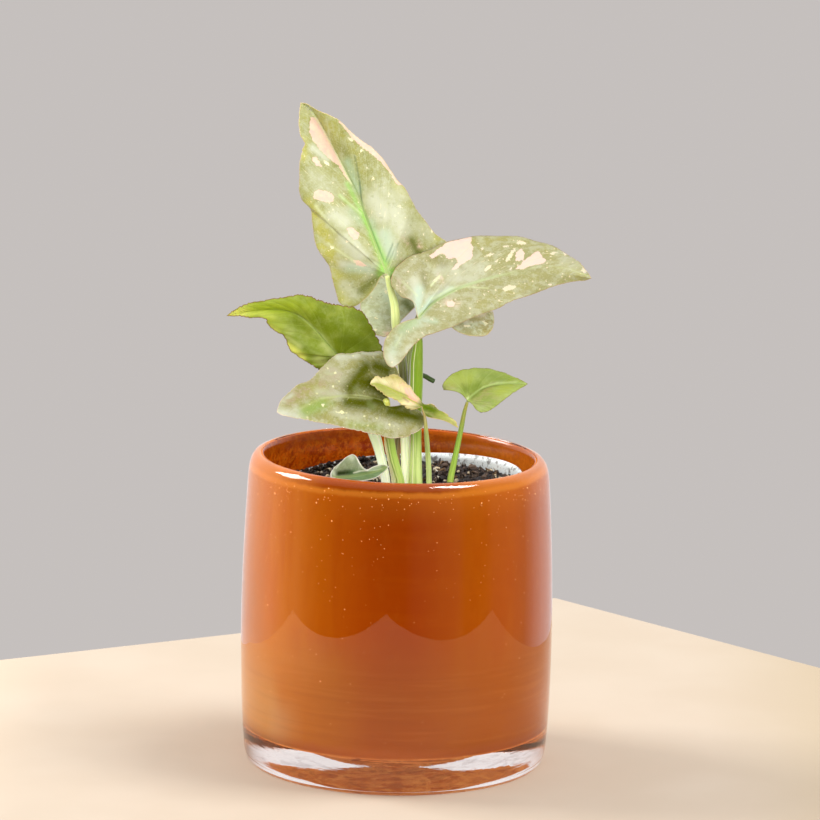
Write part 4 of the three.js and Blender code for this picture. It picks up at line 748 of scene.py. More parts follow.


# ---------------------------------------------------------------- leaf data in view units: markings, with painted shade and painted sheen among the strokes
A_PATCH = [
    [(310, 117), (318, 118), (322, 125), (327, 134), (335, 150), (341, 162), (345, 172), (351, 184), (345, 177), (339, 167),
     (333, 162), (327, 157), (320, 150), (313, 141), (309, 131)],
    [(338, 121), (346, 130), (353, 139), (361, 146), (369, 152), (377, 159), (385, 167), (391, 175), (397, 185), (404, 186),
     (398, 172), (389, 158), (378, 147), (364, 138), (352, 130), (345, 121)],
    [(314, 192), (318, 190), (326, 191), (332, 193), (334, 197), (333, 201), (330, 203), (322, 201), (314, 199)],
    [(312, 157), (316, 157), (320, 163), (322, 167), (317, 166), (313, 162)],
    [(346, 228), (350, 227), (355, 230), (359, 234), (358, 239), (354, 240), (350, 236)],
    [(353, 260), (358, 260), (364, 263), (368, 266), (362, 266), (356, 265)],
]
A_CREAM = [
    [(323, 161), (328, 162), (330, 166), (326, 165)],
    [(348, 137), (352, 138), (354, 142), (350, 141)],
    [(411, 198), (414, 199), (413, 203)], [(417, 207), (421, 208), (420, 211)], [(424, 217), (427, 219), (424, 221)],
    [(430, 228), (435, 231), (431, 233)], [(399, 205), (402, 207), (400, 210)], [(388, 192), (391, 195), (388, 197)],
    [(372, 176), (375, 179), (372, 181)], [(330, 246), (334, 247), (331, 250)], [(346, 240), (350, 241), (347, 243)],
    [(360, 147), (363, 151), (360, 152)], [(367, 166), (369, 169), (366, 169)], [(395, 214), (397, 217), (394, 216)], [(421, 233), (424, 234), (422, 237)],
]
A_PAINT = dict(
    olive=[(303, 140, 304, 156, 5, .9), (308, 205, 322, 224, 6, 1), (318, 224, 334, 248, 8, 1), (322, 248, 336, 262, 7, 1), (334, 272, 344, 300, 8, .9),
           (318, 110, 345, 140, 8, .6), (350, 148, 362, 168, 6, .3), (425, 228, 438, 238, 6, .4), (396, 184, 404, 194, 5, .5)],
    pale=[(316, 178, 330, 190, 12, .36), (335, 215, 345, 222, 9, .9), (345, 240, 360, 255, 9, .9), (343, 264, 372, 268, 5, .9), (375, 200, 385, 215, 12, .9),
          (392, 210, 402, 228, 13, .8), (378, 190, 400, 198, 10, .5), (385, 235, 392, 250, 9, .9), (415, 225, 425, 232, 8, .45), (313, 148, 326, 159, 4, .8), (344, 286, 354, 293, 6, .7), (308, 108, 312, 113, 3, .5)],
    mint=[(385, 235, 390, 255, 7, .6), (372, 222, 378, 240, 4, .5), (348, 162, 358, 190, 5, .6), (350, 268, 372, 269, 5, .5), (352, 212, 360, 222, 5, .4)],
    lime=[(347, 184, 360, 210, 2.5, .55), (360, 210, 372, 234, 3, .85), (372, 234, 384, 262, 4, .95), (384, 262, 382, 272, 5, .9), (391, 271, 395, 276, 4, .8),
          (340, 196, 360, 214, 1.8, .4)],
    # the dark lines along the midrib are painted shade in its crease
    ink=[(355, 156, 360, 182, .9, .5), (360, 182, 363, 208, .9, .75), (363, 208, 384, 260, 1.0, .6), (386, 262, 393, 244, .9, .6), (388, 264, 398, 243, .8, .5),
         (384, 266, 368, 258, .8, .3)],
    line=[(312, 112, 327, 136, 1.2, .8), (327, 136, 351, 184, 1.2, .8), (316, 206, 335, 232, 1.6, .6), (328, 243, 355, 262, 1.2, .6), (339, 195, 361, 214, 1.0, .5)],
    # the dark strokes are painted shade: leaf B's shadow on the right lobe, fold shade on the left lobe and along the
    # midrib
    dark=[(411, 241, 419, 254, 5, .95), (362, 290, 378, 277, 5, .8), (341, 142, 350, 160, 5, .2), (318, 124, 326, 136, 2.2, .35)],
    pink=[(404, 239, 409, 244, 3, .6), (418, 243, 420, 247, 2.5, .9), (398, 258, 402, 262, 2.5, .6)],
)
B_PATCH = [
    [(429, 256), (434, 253), (440, 248), (444, 245), (449, 242), (455, 240), (462, 238), (468, 237), (473, 238), (470, 243), (473, 247),
     (472, 252), (473, 256), (470, 260), (465, 263), (460, 266), (456, 270), (452, 270), (455, 266), (458, 262), (455, 258),
     (450, 259), (447, 258), (444, 255), (440, 255), (436, 257), (432, 259)],
    [(515.5, 261), (516, 253), (519, 250), (521.5, 248.5), (523, 251), (524.5, 254), (523.5, 257), (523, 260), (519, 261.5)],
    [(515, 269.5), (519, 266), (523, 262), (528, 258), (531, 256), (535, 253), (538, 251), (540, 253), (541, 256), (543, 258), (546.5, 260.5), (544, 263),
     (540, 265), (535, 265), (530, 266.5), (525, 269), (520, 270)],
    [(446, 303), (451, 301), (456, 303), (453, 307), (448, 307)],
]
B_CREAM = [
    [(505, 262), (507, 257), (511, 251), (515, 247), (516, 250), (513, 254), (510, 260)],
    [(516, 242), (522, 241), (527, 243), (523, 245), (518, 244)], [(503, 247), (509, 245), (512, 246), (506, 248)],
    [(486, 256), (491, 253), (495, 254), (489, 257)], [(484, 270), (488, 266), (493, 264), (489, 270), (485, 273)],
    [(502, 289), (507, 286), (514, 285), (516, 287), (512, 290), (505, 291)], [(432, 283), (436, 278), (440, 275), (441, 278), (436, 282)],
    [(550, 254), (554, 252), (557, 253), (552, 256)], [(562, 250), (567, 254), (565, 256)], [(583, 268), (588, 271), (585, 274), (581, 271)],
    [(480, 249), (484, 248), (482, 251)], [(509, 269), (512, 267), (511, 271)], [(548, 285), (551, 283), (552, 286)],
    [(453, 291), (457, 289), (456, 292)], [(495, 262), (498, 259), (497, 263)], [(419, 252), (424, 249), (423, 253)],
    [(483, 295), (486, 294), (484, 297)], [(545, 281), (548, 281), (546, 283)], [(517, 282), (519, 281), (519, 284)],
    [(462, 325), (468, 325), (472, 327), (467, 328)], [(430, 319), (434, 318), (433, 321)],
]
B_PAINT = dict(
    olive=[(476, 243, 510, 238, 8, .8), (510, 240, 548, 250, 8, .6), (556, 262, 580, 274, 8, .6), (505, 295, 530, 283, 8, .5), (480, 305, 500, 300, 8, .45),
           (430, 262, 443, 262, 5, .5)],
    pale=[(440, 272, 480, 270, 9, .6), (450, 280, 475, 277, 6, .7), (415, 282, 417, 300, 7, .9), (428, 300, 446, 288, 6, .7), (391, 357, 395, 364, 6, 1.0),
          (402, 354, 411, 346, 3.5, .6), (565, 262, 575, 266, 8, .4), (462, 262, 475, 258, 5, .4)],
    mint=[(417, 314, 419, 290, 5, .8), (419, 316, 432, 299, 3.5, .9), (432, 299, 452, 289, 3, .8), (420, 320, 436, 322, 3, .5), (418, 322, 402, 332, 6, .45),
          (398, 340, 393, 352, 5, .4)],
    lime=[(403, 328, 414, 322, 4, .35)],
    # the dark strokes are painted shade
    dark=[(423, 274, 425, 286, 3.5, .5), (433, 258, 443, 264, 5, .45), (455, 264, 462, 268, 3, .3)],
    ink=[(421, 316, 430, 304, .8, .7), (431, 303, 438, 298, .7, .35)],
    line=[(432, 299, 451, 288.5, 1.2, .6), (451, 288.5, 466, 287, 1.0, .7), (466, 287, 488, 288.5, .9, .5), (451, 288, 485, 280, .9, .45), (485, 280, 517, 271, .8, .3),
          (517, 271, 548, 266, .8, .2), (548, 266, 570, 270, .8, .2), (570, 270, 590, 277, .9, .4), (431, 286, 440, 276, 1.0, .9), (403, 282, 417, 296, 1.3, .5),
          (402, 334, 396, 346, 1.0, .4)],
    pink=[(440, 276, 442, 281, 3, .6), (447, 303, 456, 304, 4, .5), (398, 282, 404, 294, 4, .3), (414, 302, 415, 316, 1.5, .9)],
)
C_PATCH = [
    [(384, 336), (388, 332), (391, 334), (390, 337), (386, 338)],
]
C_CREAM = [[(462, 325), (468, 325), (472, 327), (467, 328)], [(482, 321), (486, 321), (488, 325), (484, 326)], [(366, 290), (372, 287), (373, 291), (368, 294)],
           [(374, 318), (377, 316), (378, 320)], [(384, 292), (388, 291), (387, 295)], [(456, 318), (460, 317), (459, 320)], [(374, 330), (377, 329), (376, 333)]]
C_PAINT = dict(
    olive=[(478, 318, 490, 335, 16, .9), (450, 325, 470, 334, 9, .7)],
    # the dark strokes are painted shadow behind leaf B's sinus
    pale=[(372, 290, 384, 298, 9, .5), (386, 296, 393, 304, 5, .9), (364, 312, 378, 330, 8, .3)], dark=[(405, 303, 411, 309, 4.5, .8), (409, 298, 414, 301, 3, .7)],
    mint=[(386, 296, 392, 312, 4, .4)],
    pink=[(462, 321, 490, 312, 4, .4), (386, 334, 392, 337, 6, .6)],
)
D_PAINT = dict(
    olive=[(230, 314, 254, 311, 6, 1.0), (258, 312, 270, 318, 5, .8), (262, 322, 275, 330, 5, .8), (288, 345, 302, 357, 4, .9), (318, 360, 324, 364, 4, .6)],
    # the lime strokes on the upper left paint light shining through the leaf
    lime=[(254, 308, 292, 305, 9, .85), (295, 303, 312, 306, 6, .4), (265, 318, 280, 325, 6, .6)],
    pale=[(287, 337, 301, 347, 2.5, .8), (316, 358, 326, 362, 4, .8), (324, 345, 333, 355, 4, .9), (316, 332, 326, 340, 4, .6), (275, 322, 290, 332, 5, .5)],
    # the dark strokes on the right half are painted shade from the leaves above
    dark=[(336, 325, 340, 350, 8, .5), (345, 340, 365, 345, 12, .85), (360, 316, 374, 336, 10, .75), (318, 318, 332, 332, 7, .4), (294, 319, 308, 331, 5, .55),
          (312, 300, 332, 308, 7, .38), (304, 348, 314, 355, 4, .45)],
    line=[(299, 316, 310, 324, 1.4, .5), (310, 324, 322, 336, 1.6, .8), (322, 336, 336, 354, 1.8, 1)],
)
E_CREAM = [[(331, 386), (334, 385), (334, 387)], [(387, 425), (390, 424), (390, 427)], [(336, 412), (342, 411), (348, 413), (342, 414)],
           [(334, 373), (337, 372), (336, 374)], [(375, 418), (378, 418), (377, 420)], [(321, 405), (324, 405), (323, 407)],
           [(352, 356), (355, 356), (354, 358)], [(308, 405), (311, 404), (310, 406)], [(362, 415), (365, 415), (364, 417)], [(326, 368), (329, 367), (328, 370)]]
E_PAINT = dict(
    olive=[(330, 418, 350, 420, 7, .5), (300, 420, 330, 423, 4, .5), (308, 392, 322, 388, 5, .45)],
    lime=[(306, 411, 322, 404, 7, .75), (322, 400, 332, 404, 4, .35), (350, 424, 380, 428, 4, .3)],
    # the pale strokes at the left tip are a painted silvery sheen
    pale=[(279, 413, 296, 417, 6, 1), (296, 410, 303, 416, 5, .6), (338, 358, 358, 356, 4, .8), (362, 354, 380, 353, 2.5, .8), (328, 370, 342, 380, 9, .5),
          (335, 413, 360, 418, 5, .5), (380, 422, 400, 428, 6, .4), (318, 392, 342, 396, 5, .5), (283, 402, 292, 395, 3, .7)],
    # the dark strokes are painted shadow cast across the upper right by the leaves above
    dark=[(366, 368, 350, 388, 9, 1), (376, 367, 386, 370, 9, 1), (362, 382, 386, 390, 13, 1), (348, 402, 370, 404, 8, 1), (374, 400, 396, 408, 9, 1),
          (390, 412, 416, 418, 8, 1), (350, 388, 350, 400, 6, .8), (372, 408, 386, 412, 7, .7)],
    mint=[(369, 404, 373, 408, 3.0, .6), (355, 389, 360, 393, 3.0, .45)],
    line=[(300, 409, 320, 399, 1.2, .35), (320, 399, 337, 397, 1.2, .55), (337, 397, 372, 399, 1.0, .4)],
    pink=[(326, 370, 338, 380, 8, .6), (290, 400, 312, 386, 7, .8), (314, 386, 322, 384, 5, .9), (300, 396, 330, 392, 6, .4), (400, 432, 416, 434, 4, .4)],
)
F_PATCH = [
    [(404, 387), (409, 388), (414, 395), (417, 401), (411, 400), (406, 394)],
]
F_PAINT = dict(
    olive=[(384, 396, 390, 405, 5, 1.0), (386, 376, 402, 379, 4, .7), (376, 377, 384, 379, 3, .4)],
    lime=[(377, 386, 400, 398, 4.5, 1.0), (383, 398, 389, 404, 4, .6), (440, 415, 459, 426, 5, .75)],
    pale=[(371, 381, 384, 382, 4, .8), (402, 402, 418, 406, 5, .5), (398, 386, 404, 392, 4, .5)],
    # the dark strokes are painted shade on the lower, shaded part of the young leaf
    dark=[(424, 407, 441, 414, 9, 1.0), (422, 414, 430, 418, 5, 1.0), (434, 404, 438, 407, 3, .7)],
    line=[(384, 386, 408, 396, .8, .6)],
    ink=[(434, 404, 437, 406, 1.6, .9), (423, 418, 426, 420, 1.6, .9), (403, 398, 408, 402, 1.2, .5), (370, 384, 372, 385, 1.0, .8)],
    pink=[(402, 388, 414, 398, 6, .9)],
)
H_PAINT = dict(
    lime=[(450, 382, 465, 378, 8, .6), (500, 392, 508, 388, 6, .6)], olive=[(446, 388, 452, 386, 4, .8), (484, 392, 494, 384, 2.5, .7)],
    # the dark strokes are painted shade
    pale=[(475, 374, 488, 375, 5, .4)], dark=[(466, 389, 478, 386, 6, .7), (484, 376, 508, 381, 6, .5), (476, 400, 490, 399, 6, .4)],
    line=[(467, 399, 483, 387, 1.0, .9), (483, 387, 498, 383, .9, .7), (498, 383, 516, 382, .8, .4)],
    ink=[(472, 399, 486, 388, 1.0, .45), (486, 388, 498, 386, 1.0, .35), (442, 386, 445, 390, 1.4, .9), (462, 384, 470, 394, 1.2, .3)],
    pink=[(476, 400, 490, 392, 5, .55), (486, 404, 498, 396, 4, .45)],
)
I_PAINT = dict(
    olive=[(336, 470, 350, 464, 6, .8), (350, 464, 359, 467, 4, .7)],
    # the narrow pale stroke along the top of the fold is a painted highlight
    pale=[(349, 455, 352, 458, 3.4, .9), (370, 468, 379, 466, 3, .9), (333, 472, 336, 478, 2, .8), (357.5, 459, 363.5, 468, 1.3, .9)],
    mint=[(356, 476, 376, 474, 6, .6), (376, 474, 386, 468, 5, .5)],
    # the dark strokes are painted shadow inside the fold of the blade
    dark=[(339, 473.5, 353, 472.5, 3.0, 1.0), (344, 471.5, 350, 471, 2.2, .8), (355, 475, 367, 473.5, 2.0, .5)],
    line=[(354, 473, 361, 471, .6, .9), (361, 471, 368, 470.4, .6, .9), (336, 469, 341, 462.5, .5, .7)],
)

# ---------------------------------------------------------------- blades
SP = 1.0  # resolution of the fine grids
def res(K, F, N): return int(K * SP), int(F * SP), int(N * SP)

leaf_a = leaf("leaf_a", *res(120, 60, 58), veins=(.13, .25, .38, .51, .64, .77, .9), fan_veins=(.12, .45, .8),
              bend=.17, blotches=A_PATCH, bank=A_CREAM, paint=A_PAINT, seed=1.3, wave=.32, jag=.22)
leaf_b = leaf("leaf_b", *res(120, 66, 58), veins=(.13, .25, .38, .51, .64, .77, .9), fan_veins=(.1, .4, .75),
              bend=.17, blotches=B_PATCH, bank=B_CREAM, paint=B_PAINT, seed=4.1, wave=.32, groove=.06, jag=.20)
leaf_c = leaf("leaf_c", *res(80, 50, 44), veins=(.2, .4, .6, .8, .95), fan_veins=(.3, .7), blotches=C_PATCH, bank=C_CREAM,
              paint=C_PAINT, seed=7.7, jag=.2)
leaf_d = leaf("leaf_d", *res(130, 70, 40), veins=(.14, .27, .41, .55, .7, .85), fan_veins=(.15, .5, .85), bend=.2,
              paint=D_PAINT, seed=9.2, wave=.30, quilt=.15, groove=.10, jag=.55)
leaf_e = leaf("leaf_e", *res(100, 56, 50), veins=(.14, .27, .41, .55, .7, .85), fan_veins=(.15, .5, .85), bend=.18,
              bank=E_CREAM, paint=E_PAINT, seed=12.5, wave=.34, quilt=.08, groove=.07, jag=.35)
leaf_f = leaf("leaf_f", *res(60, 60, 34), veins=(.2, .4, .6, .8), fan_veins=(.3, .7), blotches=F_PATCH, paint=F_PAINT, seed=15.8,
              groove=.14, quilt=.07, wave=.30, ruffle=.34, thick=.36, jag=.7, crinkle=.8)
leaf_h = leaf("leaf_h", *res(64, 44, 38), veins=(.2, .4, .6, .8), fan_veins=(.2, .65), bend=.18, paint=H_PAINT, seed=18.1,
              groove=.14, quilt=.12, wave=.25, ruffle=.16, thick=.36, jag=.2)
leaf_i = leaf("leaf_i", *res(60, 16, 30), veins=(.2, .4, .6, .8), fan_veins=(.5,), paint=I_PAINT, seed=21.4,
              groove=.12, quilt=.07, wave=.08, ruffle=.05, thick=.36)

VARIEGATED = dict(green=col(146, 146, 82), olive=col(158, 152, 64), pale=col(190, 191, 160), dark=col(98, 104, 44), vein=col(196, 204, 158),
                  midrib=col(178, 196, 132), mint=col(160, 182, 138), pink=col(240, 208, 192), cream=col(238, 226, 186),
                  margin=col(206, 182, 140), under=col(150, 154, 112), lime=col(142, 196, 84), ink=col(70, 96, 62), line=col(222, 226, 176))
mat_a = leaf_material("leaf_a_skin", **{**VARIEGATED, "pink": col(212, 178, 160), "olive": col(172, 168, 78), "mint": col(164, 188, 158), "pale": col(192, 194, 168), "line": col(206, 212, 166)}, cloud=.34, flecks=.5, fleck_size=.85, speck=.45, rib_fade=.9, spec=.4, vein_mix=.16, net=.15, blotch_rough=.75)
mat_b = leaf_material("leaf_b_skin", **{**VARIEGATED, "green": col(141, 138, 87), "olive": col(146, 141, 74), "mint": col(172, 192, 170), "pale": col(180, 181, 156),
                                        "midrib": col(158, 174, 120), "line": col(194, 202, 154), "vein": col(176, 182, 140), "pink": col(214, 184, 170), "cream": col(212, 198, 166), "dark": col(104, 100, 52),
                                        "margin": col(168, 138, 104), "lime": col(128, 160, 80)},
                      cloud=.42, flecks=.85, fleck_size=.85, speck=.4, rib_fade=1.0, spec=.4, vein_mix=.14, net=.15, blotch_rough=.8)
mat_c = leaf_material("leaf_c_skin", **{**VARIEGATED, "green": col(172, 175, 130), "olive": col(164, 150, 88), "pale": col(212, 220, 192), "dark": col(90, 102, 34), "pink": col(214, 180, 160)},
                      cloud=.6, flecks=.6, rib_fade=.6, spec=.35, vein_mix=.2)
mat_d = leaf_material("leaf_d_skin", green=col(112, 128, 16), olive=col(200, 200, 92), pale=col(160, 168, 96), dark=col(82, 96, 6), vein=col(138, 154, 60),
                      midrib=col(150, 166, 84), mint=col(130, 150, 26), pink=col(190, 120, 90), cream=col(220, 220, 120), margin=col(112, 60, 44), lime=col(150, 166, 36),
                      line=col(176, 190, 118), under=col(124, 140, 70), cloud=.26, flecks=.0, speck=.14, vein_mix=.28, glow=.35, gloss=.46, vein_width=.3,
                      margin_width=.42, spec=.16, rib_fade=1.0)
mat_e = leaf_material("leaf_e_skin", green=col(134, 130, 72), olive=col(146, 142, 70), pale=col(180, 182, 162), dark=col(72, 76, 0), vein=col(158, 162, 106),
                      midrib=col(158, 164, 104), mint=col(112, 122, 70), pink=col(146, 124, 94), cream=col(206, 202, 150), margin=col(206, 186, 158), lime=col(120, 146, 56),
                      line=col(170, 176, 118), under=col(140, 146, 104), rib_width=.55, cloud=.40, flecks=.5, speck=.4, vein_mix=.12, gloss=.40, spec=.22, rib_fade=1.0)
mat_f = leaf_material("leaf_f_skin", green=col(196, 180, 126), olive=col(160, 150, 60), pale=col(226, 216, 170), dark=col(78, 98, 0), vein=col(176, 184, 90),
                      midrib=col(176, 184, 84), mint=col(186, 196, 90), pink=col(222, 172, 150), cream=col(224, 200, 164), margin=col(206, 176, 120), lime=col(158, 162, 80),
                      line=col(128, 144, 40), under=col(92, 118, 10), ink=col(96, 62, 34), rib_width=.5, cloud=.25, flecks=.0, speck=.15, vein_mix=.3, glow=.5, net=.1, spec=.3)
mat_h = leaf_material("leaf_h_skin", green=col(138, 154, 66), olive=col(136, 130, 62), pale=col(156, 170, 98), dark=col(100, 120, 34), vein=col(166, 182, 104),
                      midrib=col(160, 180, 104), mint=col(150, 172, 66), ink=col(92, 100, 40), rib_width=.5, pink=col(158, 142, 104), cream=col(220, 226, 160), margin=col(122, 112, 62), lime=col(156, 166, 62),
                      line=col(190, 204, 136), under=col(150, 170, 96), cloud=.38, flecks=.0, speck=.2, vein_mix=.3, glow=.45, margin_width=.28, spec=.35)
mat_i = leaf_material("leaf_i_skin", green=col(104, 120, 76), olive=col(120, 128, 92), pale=col(186, 194, 166), dark=col(34, 44, 12), vein=col(140, 160, 110),
                      midrib=col(140, 160, 100), mint=col(104, 142, 92), line=col(214, 216, 192), pink=col(210, 200, 180), cream=col(226, 224, 210), margin=col(228, 224, 208),
                      under=col(150, 164, 138), cloud=.2, flecks=.0, speck=.2, vein_mix=.25, gloss=.3, margin_width=.55)
for ob, mt, slot in ((leaf_a, mat_a, "leaf_variegated"), (leaf_b, mat_b, "leaf_variegated"), (leaf_c, mat_c, "leaf_variegated"),
                     (leaf_d, mat_d, "leaf_green"), (leaf_e, mat_e, "leaf_shaded"), (leaf_f, mat_f, "leaf_young"),
                     (leaf_h, mat_h, "leaf_green"), (leaf_i, mat_i, "leaf_silver")):
    give(ob, mt, [ob.name.replace("_fine", "")])

# ---------------------------------------------------------------- stalks
pale_stalk = dict(streak=col(160, 196, 92), streak_mix=.35)
# stalk A: the dark middle is painted shade where the stalk runs behind leaf B
m_sa = stalk_material("stalk_a_skin", top=col(226, 238, 158), middle=col(96, 96, 50), foot=col(244, 248, 214), streak=col(160, 174, 108),
                      ridge=(col(226, 236, 170), col(130, 142, 80)), z=(118, 138, 160), streak_mix=.35)
m_sb = stalk_material("stalk_b_skin", top=col(130, 158, 44), middle=col(132, 166, 34), foot=col(206, 224, 140), streak=col(104, 142, 40),
                      ridge=(col(255, 252, 214), col(112, 148, 50)), z=(106, 124, 150), streak_mix=.4)
# stalk C: the dark brown middle and streaks are painted shade where it runs behind the other stalks
m_sc = stalk_material("stalk_c_skin", top=col(150, 160, 96), middle=col(112, 104, 56), foot=col(176, 146, 100), streak=col(80, 84, 40), z=(104, 118, 146))
# stalk D: a stronger lift, more painted light on a foot that lies in the shade of leaf E
m_sd = stalk_material("stalk_d_skin", top=col(196, 206, 140), middle=col(222, 236, 190), foot=col(240, 246, 220), streak=col(176, 208, 130),
                      ridge=(col(250, 250, 222), col(170, 190, 110)), z=(100, 112, 136), streak_mix=.3, lift=.40)
m_se = stalk_material("stalk_e_skin", top=col(206, 206, 100), middle=col(168, 198, 92), foot=col(186, 208, 110), streak=col(128, 164, 60),
                      ridge=(col(206, 220, 140), col(120, 140, 50)), z=(102, 114, 129), streak_mix=.5)
m_sf = stalk_material("stalk_f_skin", top=col(144, 122, 66), middle=col(186, 202, 118), foot=col(202, 220, 142), streak=col(150, 176, 86), z=(106, 118, 129), lift=.2)
m_sh = stalk_material("stalk_h_skin", top=col(140, 160, 70), middle=col(150, 184, 72), foot=col(176, 204, 92), streak=col(110, 144, 48), z=(102, 112, 126),
                      blush=(col(156, 152, 70), 118, 127))
m_si = stalk_material("stalk_i_skin", top=col(120, 140, 90), middle=col(130, 150, 96), foot=col(170, 180, 130), streak=col(90, 110, 60))
m_ss = stalk_material("sheath_skin", top=col(238, 226, 176), middle=col(226, 224, 176), foot=col(232, 234, 190), streak=col(196, 190, 130), z=(98, 106, 116))
# the stub's dark green is partly its own colour and partly painted shade
m_st = stalk_material("stub_skin", top=col(58, 78, 34), middle=col(58, 78, 34), foot=col(58, 78, 34), streak=col(34, 50, 20), z=(90, 100, 110), glow=.1)
for key, mt, slot, node, kw in (
    ("leaf_a", m_sa, "stalk_pale", "leaf_a_petiole", dict(ridges=((.95, .22, .16), (-1.25, .30, -.14)), tip=.8)),
    ("leaf_b", m_sb, "stalk_green", "leaf_b_petiole", dict(ridges=((.42, .10, .30), (.85, .22, -.22)), sides=40, tip=.7)),
    ("leaf_c", m_sc, "stalk_brown", "leaf_c_petiole", dict(tip=.8)),
    ("leaf_d", m_sd, "stalk_pale", "leaf_d_petiole", dict(ridges=((-.5, .2, .2), (.3, .25, -.15)), tip=.8)),
    ("leaf_e", m_se, "stalk_green", "leaf_e_petiole", dict(ridges=((.5, .2, .16), (1.1, .2, -.15)), tip=1.0, start=0)),
    ("leaf_f", m_sf, "stalk_green", "leaf_f_petiole", dict(tip=.7, sides=20)),
    ("leaf_h", m_sh, "stalk_green", "leaf_h_petiole", dict(tip=.75, sides=20, ridges=((.5, .3, .08),))),
    ("leaf_i", m_si, "stalk_green", "leaf_i_petiole", dict(tip=.8, sides=16, steps=30)),
    ("sheath", m_ss, "stalk_pale", "young_sheath", dict(tip=.12, sides=18, steps=60, ridges=((.4, .3, .12),))),
    ("stub", m_st, "stalk_brown", "cut_stalk_stub", dict(tip=None, sides=18, steps=30, end=.75)),
):
    ob = stalk(key + "_stalk", STALKS[key], **kw)
    give(ob, mt, [node])

# ---------------------------------------------------------------- glass cover pot
R, H = 55.0, 110.0
CASING_OUT = [(0, 2.4), (12, 2.39), (20, 2.3), (26, 2.11), (31, 1.81), (35, 1.44), (38, 1.07), (41, .59), (43, .21), (44.3, .03), (46, .02), (49.8, .015), (51, .04), (51.9, .3), (52.6, .9),
              (53.1, 1.9), (53.5, 3.6), (53.8, 6.5), (54.2, 12), (54.6, 20), (R, 36), (R, 54), (54.5, 74), (53.4, 96), (53.0, 102), (52.75, 104.5), (52.3, 106.6), (51.6, 108.3), (50.7, 109.4),
              (49.7, 109.9), (48.9, H)]
CASING_IN = [(48.5, 109.9), (48.2, 109.4), (48.5, 108.3), (49.3, 106), (50.1, 102.5), (50.6, 99), (51.7, 88), (52.5, 66), (52.5, 36), (52.3, 22), (51.9, 18.0), (51.0, 15.2), (49.2, 13.7), (46, 12.9),
             (40, 12.0), (32, 10.7), (24, 8.6), (16, 5.7), (8, 4.0), (0, 3.6)]
AMBER_OUT = [(0, 3.1), (8, 3.5), (16, 5.1), (24, 8.0), (32, 10.2), (40, 11.4), (46, 12.1), (50, 12.9), (51.6, 14.0), (52.4, 17.0), (52.8, 21.2), (52.95, 28), (52.95, 36), (52.95, 66),
             (52.15, 88), (51.4, 99), (51.0, 103), (50.5, 105.6), (49.9, 107.4), (49.2, 108.8), (48.6, 109.5), (48.2, 109.7)]
AMBER_IN = [(47.8, 109.5), (47.5, 108.6), (47.5, 106), (47.7, 102), (48.3, 97), (49.5, 82), (50.1, 60), (50.1, 40), (49.7, 29), (48.9, 22), (47.6, 19), (45.4, 17), (42, 15.9), (38, 15.3),
            (20, 15.05), (0, 15)]


def lathe(parts, seg, per, wobble=None):
    """Closed turned body from profile runs that start and end on the axis; parts joined by short edges."""
    rows = []
    for part in parts:
        rows.append(crom([(r, 0.0, z) for r, z in part], per))
    prof = np.vstack(rows)
    r, z = prof[:, 0], prof[:, 2]
    a = np.arange(seg) * 2 * math.pi / seg
    V = [(0.0, 0.0, z[0])]
    for k in range(1, len(r) - 1):
        rr = r[k] + (wobble(a, z[k], r[k]) if wobble else 0.0)
        x, y = rr * np.cos(a), rr * np.sin(a)
        zz = z[k] - .0169 * x * smooth(78, 110, z[k])
        V.extend(np.stack([x, y, zz + 0 * x], 1).tolist())
    V.append((0.0, 0.0, z[-1]))
    n = len(r) - 2
    last = len(V) - 1
    F, part_of = [], []
    cut = per - 1
    for j in range(seg):
        j2 = (j + 1) % seg
        F.append([0, 1 + j2, 1 + j]); part_of.append(0)
        F.append([last, 1 + (n - 1) * seg + j, 1 + (n - 1) * seg + j2]); part_of.append(1)
    for k in range(n - 1):
        for j in range(seg):
            j2 = (j + 1) % seg
            p, q = 1 + k * seg, 1 + (k + 1) * seg
            F.append([p + j, p + j2, q + j2, q + j]); part_of.append(0 if k + 1 < cut else 1)
    V = np.array(V)
    # outward faces
    vol = 0.0
    tri = np.array([[f[0], f[1], f[2]] for f in F] + [[f[0], f[2], f[3]] for f in F if len(f) > 3])
    vol = np.einsum("ij,ij->i", V[tri[:, 0]], np.cross(V[tri[:, 1]], V[tri[:, 2]])).sum()
    if vol < 0:
        F = [f[::-1] for f in F]
    return V, F, part_of


def hand_made(a, z, r):
    k = smooth(2, 12, z) * (r > 40)
    return k * (.10 * np.sin(2 * a + .7) + .07 * np.sin(3 * a + z * .03) + .05 * np.sin(5 * a - z * .05 + 1.2))


SEG = 224
V, F, part = lathe([CASING_OUT, CASING_IN], SEG, 80, hand_made)
casing = mesh_object("clear_casing_fine", V, F)
V, F, part = lathe([AMBER_OUT, AMBER_IN], SEG, 70)
amber = mesh_object("amber_glass_fine", V, F, dict(hz=V[:, 2]), face_mats=part)

# clear glass: plain refraction for what is seen, and open to the light that falls on the amber behind it
b = Nodes("clear_glass_skin")
n = b.noise(b.mm(), 22.0, 2, .5)
sx = b.new("ShaderNodeSeparateXYZ")
b.put(sx.inputs[0], b.mm())
foot = b.mul(b.step(sx.outputs[2], 14.5, 11.0), b.step(sx.outputs[2], 1.5, 4.0))
streak = b.noise(b.vmul(b.mm(), (1, 1, 4)), 13.0, 4, .6, distortion=1.2)
tint = b.mix(b.mul(foot, b.add(.22, b.mul(b.step(streak, .50, .64), .46))), col(252, 250, 248), (.46, .41, .40, 1.0))
normal = b.bump(b.add(b.noise(b.vmul(b.mm(), (1, 1, .25)), 9.0, 2, .5), b.mul(b.mul(foot, streak), 2.5)), .05, .35)
glass = b.principled(tint, .0, normal, Transmission_Weight=1.0, IOR=1.5, Specular_IOR_Level=.5)
lp = b.new("ShaderNodeLightPath")
